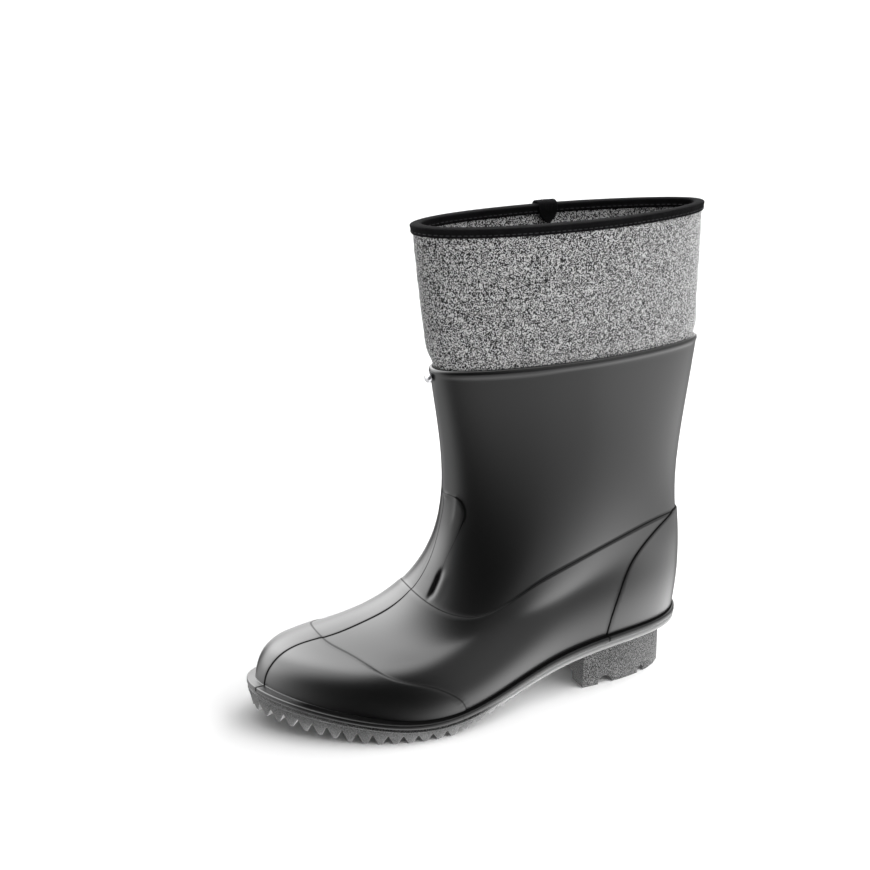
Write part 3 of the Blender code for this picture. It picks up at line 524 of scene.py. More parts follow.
def outward_normals(points: Array) -> Array:
    """Work out the normals of a grid whose rows are closed rings from low to high.

    Args:
        points: Grid of points, rows by columns by 3, without the repeated last column.

    Returns:
        Unit normals of the same shape, pointing out of the boot.
    """
    around = np.roll(points, -1, 1) - np.roll(points, 1, 1)
    up = np.gradient(points, axis=0)
    normals = np.cross(up, around)
    normals /= np.maximum(np.linalg.norm(normals, axis=-1), 1e-12)[..., None]
    middle = points.mean(1, keepdims=True)
    flip = np.sign(np.sum(normals * (points - middle), axis=-1).sum())
    return normals * flip


def evened(points: Array, spread: float) -> Array:
    """Even out short waves up a surface, keeping its ends and its broad form.

    Args:
        points: Rows of points.
        spread: Width of the evening, in rows.

    Returns:
        The evened rows.
    """
    spreads = 3
    half = int(spreads * spread)
    weights = np.exp(-0.5 * (np.arange(-half, half + 1) / spread) ** 2)
    weights /= weights.sum()

    def blur(rows: Array) -> Array:
        """Blur rows once, with each end turned over so that it stays.

        Args:
            rows: Rows of points.

        Returns:
            The blurred rows.
        """
        before = 2 * rows[:1] - rows[half:0:-1]
        after = 2 * rows[-1:] - rows[-2:-half - 2:-1]
        padded = np.concatenate([before, rows, after])
        return sum(weight * padded[k:k + len(rows)] for k, weight in enumerate(weights))

    # The second blur gives back the broad form that the first one flattens
    once = blur(points)
    return 2 * once - blur(once)


def only(piece: bpy.types.Object) -> None:
    """Select one piece and nothing else.

    Args:
        piece: The piece.
    """
    bpy.ops.object.select_all(action="DESELECT")
    piece.select_set(True)
    bpy.context.view_layer.objects.active = piece


def close_seams(piece: bpy.types.Object, reach: float = 1e-6) -> None:
    """Merge doubled points and turn the faces outwards.

    Args:
        piece: The piece.
        reach: How near doubled points lie.
    """
    only(piece)
    bpy.ops.object.mode_set(mode="EDIT")
    bpy.ops.mesh.select_all(action="SELECT")
    bpy.ops.mesh.remove_doubles(threshold=reach)
    bpy.ops.mesh.normals_make_consistent(inside=False)
    bpy.ops.object.mode_set(mode="OBJECT")


def ring_grid(name: str, rings: Array, fields: Optional[dict[str, Array]] = None, wrap: bool = False,
              ) -> bpy.types.Object:
    """Lay a grid primitive over closed rings of points.

    Args:
        name: Name of the piece.
        rings: Points in the frame, rings by columns by 3.
        fields: Values of each point, kept as attributes of the mesh.
        wrap: Whether the last ring joins the first.

    Returns:
        The piece, with its seams merged.
    """
    count, columns = rings.shape[:2]
    bpy.ops.object.select_all(action="DESELECT")
    spans = count if wrap else count - 1
    bpy.ops.mesh.primitive_grid_add(x_subdivisions=columns, y_subdivisions=spans, size=1)
    piece = bpy.context.active_object
    piece.name = piece.data.name = name

    def laid(values: Array) -> Array:
        """Repeat the first column after the last, and the first ring too where the grid wraps."""
        closed = np.concatenate([values, values[:, :1]], 1)
        return np.concatenate([closed, closed[:1]]) if wrap else closed

    piece.data.vertices.foreach_set("co", laid(rings).astype(np.float32).ravel())
    for field, values in (fields or {}).items():
        attribute = piece.data.attributes.new(field, "FLOAT", "POINT")
        attribute.data.foreach_set("value", laid(values).astype(np.float32).ravel())
    piece.data.update()
    close_seams(piece)
    bpy.ops.object.shade_smooth()
    return piece


def mesh_piece(name: str, points: Array, faces: Sequence[Sequence[int]]) -> bpy.types.Object:
    """Make a piece of many small copies from points and faces.

    Args:
        name: Name of the piece.
        points: Points in the frame.
        faces: Indices of the points of each face.

    Returns:
        The piece.
    """
    mesh = bpy.data.meshes.new(name)
    mesh.from_pydata([tuple(p) for p in points], [], [tuple(face) for face in faces])
    piece = bpy.data.objects.new(name, mesh)
    bpy.context.scene.collection.objects.link(piece)
    return piece


def thread_piece(name: str, paths: Sequence[Array], radius: float, sides: int = 2) -> bpy.types.Object:
    """Make round threads along paths.

    Args:
        name: Name of the piece.
        paths: Points of each thread, in the frame.
        radius: Radius of the thread.
        sides: Bevel resolution of the round section.

    Returns:
        One mesh piece of all the threads.
    """
    curve = bpy.data.curves.new(name, "CURVE")
    curve.dimensions = "3D"
    curve.bevel_depth = radius
    curve.bevel_resolution = sides
    curve.use_fill_caps = True
    for path in paths:
        line = curve.splines.new("POLY")
        line.points.add(len(path) - 1)
        line.points.foreach_set("co", np.c_[path, np.ones(len(path))].ravel())
    piece = bpy.data.objects.new(name, curve)
    bpy.context.scene.collection.objects.link(piece)
    only(piece)
    bpy.ops.object.convert(target="MESH")
    made = bpy.context.active_object
    made.name = made.data.name = name
    bpy.ops.object.shade_smooth()
    return made


class Graph:
    """Adds nodes to one material or node group."""

    def __init__(self, tree: bpy.types.NodeTree) -> None:
        """Work on the given node tree."""
        self.tree = tree

    def node(self, kind: str, **settings: object) -> bpy.types.Node:
        """Add a node and set its properties.

        Args:
            kind: Type of the node.
            settings: Its properties, by name.

        Returns:
            The node.
        """
        made = self.tree.nodes.new(kind)
        for name, value in settings.items():
            setattr(made, name, value)
        return made

    def feed(self, socket: Socket, value: object) -> None:
        """Link a socket into another one, or set its value.

        Args:
            socket: Socket that is fed.
            value: Another socket, or a value.
        """
        if isinstance(value, bpy.types.NodeSocket):
            self.tree.links.new(value, socket)
        else:
            socket.default_value = value

    def math(self, operation: str, first: Value, second: Value = 0.0) -> Socket:
        """Add a math node and return what it gives.

        Args:
            operation: Name of the operation.
            first: First value.
            second: Second value.

        Returns:
            The result.
        """
        made = self.node("ShaderNodeMath", operation=operation)
        self.feed(made.inputs[0], first)
        self.feed(made.inputs[1], second)
        return made.outputs[0]

    def span(self, value: Value, low: float, high: float, to_low: float = 0.0, to_high: float = 1.0,
             smooth: bool = True) -> Socket:
        """Map a value from one range to another.

        Args:
            value: What is mapped.
            low: Value that becomes to_low.
            high: Value that becomes to_high.
            to_low: Start of the new range.
            to_high: End of the new range.
            smooth: Whether the range is entered and left smoothly.

        Returns:
            The mapped value.
        """
        made = self.node("ShaderNodeMapRange", interpolation_type="SMOOTHSTEP" if smooth else "LINEAR")
        for socket, number in zip(made.inputs[:5], (value, low, high, to_low, to_high)):
            self.feed(socket, number)
        return made.outputs[0]

    def noise(self, vector: Socket, scale: Value, detail: float = 2.0, roughness: float = 0.5) -> Socket:
        """Add a noise texture and return its value.

        Args:
            vector: Place that it is read at.
            scale: How fine it is.
            detail: Number of its finer layers.
            roughness: Strength of its finer layers.

        Returns:
            Its value.
        """
        made = self.node("ShaderNodeTexNoise")
        self.feed(made.inputs["Vector"], vector)
        self.feed(made.inputs["Scale"], scale)
        self.feed(made.inputs["Detail"], detail)
        self.feed(made.inputs["Roughness"], roughness)
        return made.outputs["Fac"]

    def mix(self, share: Value, first: object, second: object, kind: str = "RGBA") -> Socket:
        """Mix two colours, or two values of another kind, and return the result.

        Args:
            share: Share of the second.
            first: First colour or value.
            second: Second colour or value.
            kind: Kind of value, as the node names it.

        Returns:
            The mixture.
        """
        *places, result = MIX_SOCKETS[kind]
        made = self.node("ShaderNodeMix", data_type=kind)
        for index, value in zip(places, (share, first, second)):
            self.feed(made.inputs[index], value)
        return made.outputs[result]

    def attribute(self, name: str) -> Socket:
        """Read a value that the mesh carries."""
        return self.node("ShaderNodeAttribute", attribute_name=name).outputs["Fac"]

    def object_place(self) -> Socket:
        """Read the place on the piece in the frame."""
        return self.node("ShaderNodeTexCoord").outputs["Object"]

    def grain(self, fine: float, cloud: float) -> tuple[Socket, Socket]:
        """Lay the moulded grain over the piece and return its height and its cloudy mask."""
        made = self.group("moulded grain", vector=self.object_place(), fine=fine, cloud=cloud)
        return made.outputs["Height"], made.outputs["Mask"]

    def bump(self, height: Socket, reach: float, strength: float = 1.0) -> Socket:
        """Turn a height into a normal.

        Args:
            height: The height.
            reach: Height of 1 in metres.
            strength: Share of the effect.

        Returns:
            The normal.
        """
        made = self.node("ShaderNodeBump")
        made.inputs["Strength"].default_value = strength
        made.inputs["Distance"].default_value = reach
        self.feed(made.inputs["Height"], height)
        return made.outputs["Normal"]

    def group(self, name: str, **inputs: object) -> bpy.types.Node:
        """Place a shared node group and feed its inputs by name.

        Args:
            name: Name of the group.
            inputs: What its inputs get, by name.

        Returns:
            The group's node.
        """
        made = self.node("ShaderNodeGroup", node_tree=bpy.data.node_groups[name])
        for socket, value in inputs.items():
            self.feed(made.inputs[socket.replace("_", " ").title()], value)
        return made


def new_group(name: str, inputs: Sequence[str],
              outputs: Sequence[str]) -> tuple[Graph, bpy.types.Node, bpy.types.Node]:
    """Start a shared node group.

    Args:
        name: Name of the group.
        inputs: Names of its value inputs; "Vector" is a vector.
        outputs: Names of its value outputs.

    Returns:
        A graph on it, its input node and its output node.
    """
    tree = bpy.data.node_groups.new(name, "ShaderNodeTree")
    for title in inputs:
        kind = "NodeSocketVector" if title == "Vector" else "NodeSocketFloat"
        tree.interface.new_socket(title, in_out="INPUT", socket_type=kind)
    for title in outputs:
        tree.interface.new_socket(title, in_out="OUTPUT", socket_type="NodeSocketFloat")
    graph = Graph(tree)
    return graph, graph.node("NodeGroupInput"), graph.node("NodeGroupOutput")


class SharedEffects:
    """Node groups that several materials use."""

    fine_detail: float = 3.0
    cloud_detail: float = 4.0
    cloud_span: tuple[float, float] = (0.35, 0.65)
    step_span: tuple[float, float] = (-0.5, 0.5)
    groove_shift: float = 0.3
    groove_span: tuple[float, float] = (0.25, 0.85)
    fibre_roughness: float = 0.6
    clump_scale: float = 0.40
    clump_share: float = 0.22
    speckle_span: tuple[float, float] = (0.480, 0.555)

    def build(self) -> None:
        """Build every group."""
        self.moulded_grain()
        self.panel_edge()
        self.fibre_speckle()

    def moulded_grain(self) -> None:
        """Fine unevenness of moulded rubber: a height and a cloudy mask."""
        graph, given, out = new_group("moulded grain", ("Vector", "Fine", "Cloud"), ("Height", "Mask"))
        place = given.outputs["Vector"]
        cloud = graph.noise(place, given.outputs["Cloud"], self.cloud_detail)
        graph.feed(out.inputs["Height"], graph.noise(place, given.outputs["Fine"], self.fine_detail))
        graph.feed(out.inputs["Mask"], graph.span(cloud, *self.cloud_span))

    def panel_edge(self) -> None:
        """A panel's edge from the distance to it: a step and a groove along its outside."""
        graph, given, out = new_group("panel edge", ("Distance", "Width"), ("Step", "Groove"))
        ratio = graph.math("DIVIDE", given.outputs["Distance"], given.outputs["Width"])
        graph.feed(out.inputs["Step"], graph.span(ratio, *self.step_span))
        away = graph.math("ABSOLUTE", graph.math("ADD", ratio, self.groove_shift))
        graph.feed(out.inputs["Groove"], graph.span(away, *self.groove_span, 1.0, 0.0))

    def fibre_speckle(self) -> None:
        """Mixed light and dark wool fibres: a speckle and a height."""
        graph, given, out = new_group("fibre speckle", ("Vector", "Scale"), ("Speckle", "Height"))
        place, scale = given.outputs["Vector"], given.outputs["Scale"]
        fibre = graph.noise(place, scale, roughness=self.fibre_roughness)
        clump = graph.noise(place, graph.math("MULTIPLY", scale, self.clump_scale))
        fibre_part = graph.math("MULTIPLY", fibre, 1.0 - self.clump_share)
        mixed = graph.math("ADD", fibre_part, graph.math("MULTIPLY", clump, self.clump_share))
        graph.feed(out.inputs["Speckle"], graph.span(mixed, *self.speckle_span, smooth=False))
        graph.feed(out.inputs["Height"], mixed)


@dataclass(frozen=True)
class Finish:
    """What all finishes share: a name and the constants of the shader."""

    name: str
    colour: tuple[float, float, float]
    roughness: float
    specular: float = 0.5

    def start(self) -> tuple[bpy.types.Material, Graph, bpy.types.Node]:
        """Start the material.

        Returns:
            The material, a graph on it and its shader.
        """
        material = bpy.data.materials.new(self.name)
        material.use_nodes = True
        shader = material.node_tree.nodes["Principled BSDF"]
        shader.inputs["Base Color"].default_value = (*self.colour, 1.0)
        shader.inputs["Roughness"].default_value = self.roughness
        shader.inputs["Specular IOR Level"].default_value = self.specular
        return material, Graph(material.node_tree), shader


@dataclass(frozen=True)
class GlossRubber(Finish):
    """Smooth black rubber of the upper, with grooves along its panels; painted shade darkens the grooves,
    the ankle crease and the flange.
    """

    groove_shade_colour: tuple[float, float, float] = (0.0012, 0.0012, 0.0012)
    groove_roughness: float = 0.35
    coat: float = 0.95
    grain: float = 2600.0
    grain_height: float = 0.020
    cloud: float = 38.0
    cloud_roughness: float = 0.02
    relief: float = 0.001

    def build(self) -> bpy.types.Material:
        """Build the material.

        Returns:
            The material.
        """
        material, graph, shader = self.start()
        grain, mask = graph.grain(self.grain, self.cloud)
        height = graph.math("MULTIPLY", grain, self.grain_height)
        # Painted shade: panel grooves are darkened towards the groove's shade colour, made rougher and lose
        # their coat
        dark: Value = 0.0
        for edge in PANELS:
            line = graph.group("panel edge", distance=graph.attribute(edge.field), width=edge.width)
            rise = graph.math("MULTIPLY", line.outputs["Step"], edge.crisp)
            cut = graph.math("MULTIPLY", line.outputs["Groove"], edge.groove)
            height = graph.math("SUBTRACT", graph.math("ADD", height, rise), cut)
            dark = graph.math("MAXIMUM", dark, graph.math("MULTIPLY", line.outputs["Groove"], edge.darken))
        # Painted shade from the crease field: the ankle crease's trough and the shadow along the flange and
        # its fillet
        dark = graph.math("MAXIMUM", dark, graph.attribute("crease"))
        rougher = self.roughness + self.cloud_roughness
        clouded = graph.span(mask, 0.0, 1.0, self.roughness, rougher)
        rough = graph.math("ADD", clouded, graph.math("MULTIPLY", dark, self.groove_roughness))
        colour = graph.mix(dark, (*self.colour, 1.0), (*self.groove_shade_colour, 1.0))
        graph.feed(shader.inputs["Base Color"], colour)
        graph.feed(shader.inputs["Roughness"], rough)
        graph.feed(shader.inputs["Coat Weight"], graph.span(dark, 0.0, 1.0, self.coat, 0.0, False))
        shader.inputs["Coat Roughness"].default_value = self.roughness
        graph.feed(shader.inputs["Normal"], graph.bump(height, self.relief))
        return material


@dataclass(frozen=True)
class StippledRubber(Finish):
    """Dull sole rubber with a fine stipple, plain and paler where the mesh carries an edge value."""

    pale: tuple[float, float, float] = (0.21, 0.21, 0.21)
    stipple: float = 1700.0
    spot_span: tuple[float, float] = (0.46, 0.58)
    depth: float = 0.00022
    edge: tuple[float, float, float] = (0.30, 0.30, 0.30)
    cloud: float = 60.0
    smoother: float = 0.08
    rougher: float = 0.06

    def build(self) -> bpy.types.Material:
        """Build the material.

        Returns:
            The material.
        """
        material, graph, shader = self.start()
        height, mask = graph.grain(self.stipple, self.cloud)
        spots = graph.span(height, *self.spot_span)
        stippled = graph.mix(spots, (*self.colour, 1.0), (*self.pale, 1.0))
        colour = graph.mix(graph.attribute("edge"), stippled, (*self.edge, 1.0))
        low, high = self.roughness - self.smoother, self.roughness + self.rougher
        graph.feed(shader.inputs["Base Color"], colour)
        graph.feed(shader.inputs["Roughness"], graph.span(mask, 0.0, 1.0, low, high))
        graph.feed(shader.inputs["Normal"], graph.bump(height, self.depth))
        return material


@dataclass(frozen=True)
class Felt(Finish):
    """Salt-and-pepper wool felt."""

    pale: tuple[float, float, float] = (0.50, 0.50, 0.50)
    scale: float = 1350.0
    nap: float = 0.0016
    nap_strength: float = 0.7
    sheen: float = 0.8
    sheen_roughness: float = 0.35

    def build(self) -> bpy.types.Material:
        """Build the material.

        Returns:
            The material.
        """
        material, graph, shader = self.start()
        wool = graph.group("fibre speckle", vector=graph.object_place(), scale=self.scale)
        colour = graph.mix(wool.outputs["Speckle"], (*self.colour, 1.0), (*self.pale, 1.0))
        graph.feed(shader.inputs["Base Color"], colour)
        graph.feed(shader.inputs["Normal"], graph.bump(wool.outputs["Height"], self.nap, self.nap_strength))
        shader.inputs["Sheen Weight"].default_value = self.sheen
        shader.inputs["Sheen Roughness"].default_value = self.sheen_roughness
        return material


@dataclass(frozen=True)
class Tape(Finish):
    """Black woven tape and thread."""

    weave: float = 1500.0
    cloud: float = 150.0
    worn: float = 2.4
    relief: float = 0.0005

    def build(self) -> bpy.types.Material:
        """Build the material.

        Returns:
            The material.
        """
        material, graph, shader = self.start()
        height, mask = graph.grain(self.weave, self.cloud)
        worn = tuple(self.worn * value for value in self.colour)
        share = graph.math("MULTIPLY", height, mask)
        graph.feed(shader.inputs["Base Color"], graph.mix(share, (*self.colour, 1.0), (*worn, 1.0)))
        graph.feed(shader.inputs["Normal"], graph.bump(height, self.relief))
        return material


@dataclass(frozen=True)
class BrightSteel(Finish):
    """Polished steel with a fine grain."""

    grain: float = 3000.0
    cloud: float = 500.0
    cloud_roughness: float = 0.16
    relief: float = 0.00004

    def build(self) -> bpy.types.Material:
        """Build the material.

        Returns:
            The material.
        """
        material, graph, shader = self.start()
        height, mask = graph.grain(self.grain, self.cloud)
        rougher = self.roughness + self.cloud_roughness
        graph.feed(shader.inputs["Roughness"], graph.span(mask, 0.0, 1.0, self.roughness, rougher))
        graph.feed(shader.inputs["Normal"], graph.bump(height, self.relief))
        shader.inputs["Metallic"].default_value = 1.0
        return material


@dataclass(frozen=True)
class StudioFloor(Finish):
    """Plain pale floor."""

    def build(self) -> bpy.types.Material:
        """Build the material."""
        return self.start()[0]


@dataclass(frozen=True)
class Panel:
    """A raised panel of the upper, read from an attribute that holds the distance inside its edge.

    The mesh is raised by the first measure. The others are its edge in the material: how wide it is, how far
    it steps up, how deep its groove is and how much painted shade darkens the groove.
    """

    field: str
    raised: float
    width: float
    crisp: float
    groove: float
    darken: float


# Last column: how strongly painted shade darkens each panel's groove
PANELS = (
    Panel("saddle", 0.0, 0.0008, 0.06, 0.08, 0.75),
    Panel("toe_cap", 0.0006, 0.0009, 0.16, 0.04, 0.55),
    Panel("counter", 0.0005, 0.0011, 0.05, 0.15, 1.0),
    Panel("strip", 0.0004, 0.0010, 0.05, 0.15, 1.0),
    Panel("patch", 0.0006, 0.0011, 0.05, 0.0, 0.95),
)


class Side(Enum):
    """Which face of the collar a row of stitches is on."""

    OUTSIDE = "outside"
    INSIDE = "inside"


@dataclass
class RubberShell:
    """Moulded foot and shaft with the panels raised on it."""

    last: Last
    finish: GlossRubber
    columns: int = 420
    foot_rows: int = 104
    leg_rows: int = 80
    inner_rows: int = 30
    evening: float = 18.0
    level_probe: float = 0.05
    wall: float = 0.0023
    gap: float = 0.0003
    lip: float = 0.0006
    foot_layer: Fade = Fade(-0.0004, 0.0008, 0.0007)
    fillet_rows: int = 6
    fillet_level: float = 0.32
    fillet_rise: float = 0.10
    bead: Fade = Fade(0.0032, -0.0012, 0.0004)
    bead_top: Fade = Fade(0.0, 0.0006)
    edge_blur: float = 0.0011
    front_share: float = 0.75
    middle_x: float = 0.12
    far: float = 0.05
    counter_lap: float = 0.0004
    patch_lap: float = 0.002
    patch_level: float = 7.6
    strip_fade: Fade = Fade(6.2, 1.6, 2.0)
    patch_front_fade: Fade = Fade(0.0105, -0.0030, 4.0)
    patch_low_fade: Fade = Fade(0.1280, -0.0200, 14.0)
    crease_depth: float = 0.0013
    crease_half: float = 0.0010
    crease_start: Fade = Fade(-0.10, 0.40)
    crease_end: Fade = Fade(1.05, -0.30)
    crease_ridge: float = 0.0001
    crease_ridge_away: float = 0.0026
    crease_ridge_half: float = 0.0016
    front_ridge: float = 0.0005
    front_ridge_half: float = 0.0035
    front_ridge_shift: float = 0.001
    front_ridge_low: Fade = Fade(9.8, 0.3)
    front_ridge_top: Fade = Fade(RUBBER_TOP, -0.8)
    tab: float = 0.0008
    # Painted shadow on the flange's underside, face and ledge and on the fillet, left off at the toe's tip
    bright_tip: Fade = Fade(0.2860, -0.010)
    under_shadow: float = 1.0
    face_shadow: float = 0.35
    ledge_shadow: float = 0.5
    fillet_shadow: float = 1.0

    def levels(self, saddle: Array) -> Array:
        """Levels of the outer rows, which follow the saddle line below and above it.

        Args:
            saddle: Level of the saddle line around the boot.

        Returns:
            Rows of levels.
        """
        foot_share = np.linspace(0, 1, self.foot_rows)[:, None]
        leg_share = np.linspace(0, 1, self.leg_rows)[1:, None]
        foot = self.fillet_level + (saddle - self.fillet_level) * foot_share
        return np.concatenate([foot, saddle + (RUBBER_TOP - saddle) * leg_share])

    def level_length(self, level: Array, s: Array) -> Array:
        """Length of one level up the form at each point.

        Args:
            level: Level of each point.
            s: Ring place of each point.

        Returns:
            Lengths in metres.
        """
        above = self.last.form(level + self.level_probe, s)
        below = self.last.form(level - self.level_probe, s)
        return 0.5 * np.linalg.norm(above - below, axis=-1) / self.level_probe

    def flange(self, s: Array) -> list[Array]:
        """Rings round the flange, from its underside up its flat face to its narrow ledge."""
        return [self.last.rim_ring(s, point.inset, self.gap + point.lift) for point in FLANGE]

    def fillet(self, start: Array, end: Array) -> list[Array]:
        """Concave rings from the flange to the wall.

        Args:
            start: Top ring of the flange.
            end: Lowest ring of the wall.

        Returns:
            The rings between them.
        """
        corner_z = start[:, 2] + self.fillet_rise * (end[:, 2] - start[:, 2])
        corner = np.stack([end[:, 0], end[:, 1], corner_z], -1)
        shares = np.linspace(0, 1, self.fillet_rows + 2)[1:-1]
        return [(1 - t) ** 2 * start + 2 * t * (1 - t) * corner + t ** 2 * end for t in shares]

    def inner_face(self, s: Array) -> Array:
        """Rings down the inside of the wall to the plate.

        Args:
            s: Ring places.

        Returns:
            Points of the last, rings by columns by 3.
        """
        level = np.linspace(RUBBER_TOP, self.last.wall_start, self.inner_rows)[:, None]
        rings = self.last.form(level, s, self.wall)
        rings[-1] = self.last.set_down(rings[-1], self.gap)
        return rings

    def fields(self, level: Array, s: Array, points: Array, saddle: Array) -> dict[str, Array]:
        """Distances inside each panel's edge.

        Args:
            level: Level of each point.
            s: Ring place of each point.
            points: Points of the last.
            saddle: Distance below the saddle line.

        Returns:
            One field for each panel.
        """
        beside = np.abs(points[..., 1] - self.last.front_middle(level))
        at_front = self.last.share(s)[0] > self.front_share
        strip = np.where(at_front, along(STRIP_HALF, level) - beside, -self.far)
        ahead = points[..., 0] > self.middle_x
        behind = points[..., 0] < self.middle_x
        cap = edge_distance(points, TOE_CAP_EDGE)
        counter = np.minimum(-edge_distance(points, COUNTER_EDGE), saddle + self.counter_lap)
        patch = np.minimum(edge_distance(points, PATCH_EDGE), self.patch_lap - strip)
        return {
            "saddle": saddle,
            "toe_cap": np.where(ahead, cap, -self.far),
            "counter": np.where(behind, counter, -self.far),
            "strip": strip,
            "patch": np.where(ahead & (level > self.patch_level), patch, -self.far),
        }

    def faintness(self, level: Array, points: Array) -> dict[str, Array]:
        """How many times thinner and lower the panels' edges run where they fade out.

        Args:
            level: Level of each point.
            points: Points of the last.

        Returns:
            One field for each panel that fades, 1 where it is full.
        """
        beside = np.abs(points[..., 1] - self.last.front_middle(level))
        return {
            "strip": 1.0 + self.strip_fade.at(level),
            "patch": 1.0 + self.patch_front_fade.at(beside) + self.patch_low_fade.at(points[..., 2]),
        }

    def crease(self, s: Array, points: Array) -> tuple[Array, Array]:
        """Crease at the bend of the ankle, on the outer side, whose trough is also painted as shade.

        Args:
            s: Ring place of each point.
            points: Points of the last.

        Returns:
            How deep each point lies in the crease, and how high on the ridge beside it, from 0 to 1.
        """
        start, end = np.array(CREASE[0]), np.array(CREASE[-1])
        run = end - start
        place = ((points[..., 0] - start[0]) * run[0] + (points[..., 2] - start[1]) * run[1]) / (run @ run)
        taper = self.crease_start.at(place) * self.crease_end.at(place) * (self.last.share(s)[1] > 0)
        away = edge_distance(points, CREASE)
        trough = np.exp(-(away / self.crease_half) ** 2)
        ridge = np.exp(-((away + self.crease_ridge_away) / self.crease_ridge_half) ** 2)
        return taper * trough, taper * ridge

    def front(self, level: Array, s: Array, points: Array) -> Array:
        """Rise of the fine ridge along the shaft's front and of the tab under it.

        Args:
            level: Level of each point.
            s: Ring place of each point.
            points: Points of the last.

        Returns:
            Rise of each point.
        """
        beside = points[..., 1] - self.last.front_middle(level) - self.front_ridge_shift
        beside = np.where(self.last.share(s)[0] > self.front_share, beside, self.far)
        ridge = np.exp(-(beside / self.front_ridge_half) ** 2)
        ridge = ridge * self.front_ridge_low.at(level) * self.front_ridge_top.at(level)
        tab = np.exp(-np.sum(((points - np.array(TAB)) / np.array(TAB_REACH)) ** 2, axis=-1))
        return self.front_ridge * ridge + self.tab * tab

    def relief(self, level: Array, s: Array, points: Array) -> tuple[Array, dict[str, Array]]:
        """Work out everything that stands on the plain form.

        Args:
            level: Level of each point.
            s: Ring place of each point.
            points: Points of the last.

        Returns:
            Rise of each point, and the fields that the material reads.
        """
        length = self.level_length(level, s)
        below_saddle = (self.last.saddle(s) - level) * length
        below_top = (RUBBER_TOP - level) * length
        fields = self.fields(level, s, points, below_saddle)
        faint = self.faintness(level, points)
        trough, ridge = self.crease(s, points)
        rise = self.foot_layer.at(below_saddle) + self.bead.at(below_top) * self.bead_top.at(below_top)
        rise = rise + self.front(level, s, points) + self.crease_ridge * ridge - self.crease_depth * trough
        for panel in PANELS:
            thinner = faint.get(panel.field, 1.0)
            rise = rise + panel.raised / thinner * ease(fields[panel.field] / (2 * self.edge_blur) + 0.5)
            fields[panel.field] = fields[panel.field] * thinner
        # The crease's trough is painted as shade in the material as well as cut into the form
        fields["crease"] = trough
        return rise, fields

    def shadow(self, flange: list[Array], fillet: list[Array]) -> Array:
        """Painted shadow on the flange and its fillet, which fades out towards the toe's tip.

        Args:
            flange: Rings of the flange.
            fillet: Rings of the fillet.

        Returns:
            Painted shadow from 0 to 1, rings by columns.
        """
        dark = [[self.under_shadow], [self.face_shadow], [self.ledge_shadow], [self.fillet_shadow]]
        rows = (2, len(flange) - 4, 2, len(fillet))
        return np.repeat(dark, rows, 0) * self.bright_tip.at(flange[-1][:, 0])

    def build(self) -> bpy.types.Object:
        """Build the shell.

        Returns:
            The finished piece.
        """
        last = self.last
        s = ring_places(self.columns)
        level = self.levels(last.saddle(s))
        around = np.broadcast_to(s, level.shape)
        plain = evened(last.form(level, around), self.evening)
        rise, fields = self.relief(level, around, plain)
        points = plain + outward_normals(plain) * rise[..., None]
        flange = self.flange(s)
        fillet = self.fillet(flange[-1], points[0])
        inner = self.inner_face(s)
        lip = (points[-1] + inner[0]) / 2 + np.array([0, 0, self.lip])
        rings = np.stack([*flange, *fillet, *points, lip, *inner])
        shadow = self.shadow(flange, fillet)
        filled = {}
        # The flange and fillet rows of the crease field carry their painted shadow; the other fields repeat
        # their lowest row there
        for name, values in fields.items():
            low = shadow if name == "crease" else np.repeat(values[:1], len(shadow), 0)
            inside = np.full((1 + self.inner_rows, self.columns), values.min())
            filled[name] = np.concatenate([low, values, inside])
        piece = ring_grid("rubber_shell", last.place(rings), filled, wrap=True)
        piece.data.materials.append(self.finish.build())
        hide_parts("rubber_upper", "toe_cap_lateral", "toe_cap_medial", "heel_counter",
                    "front_strip", "ankle_patch_lateral", "ankle_patch_medial")
        return piece


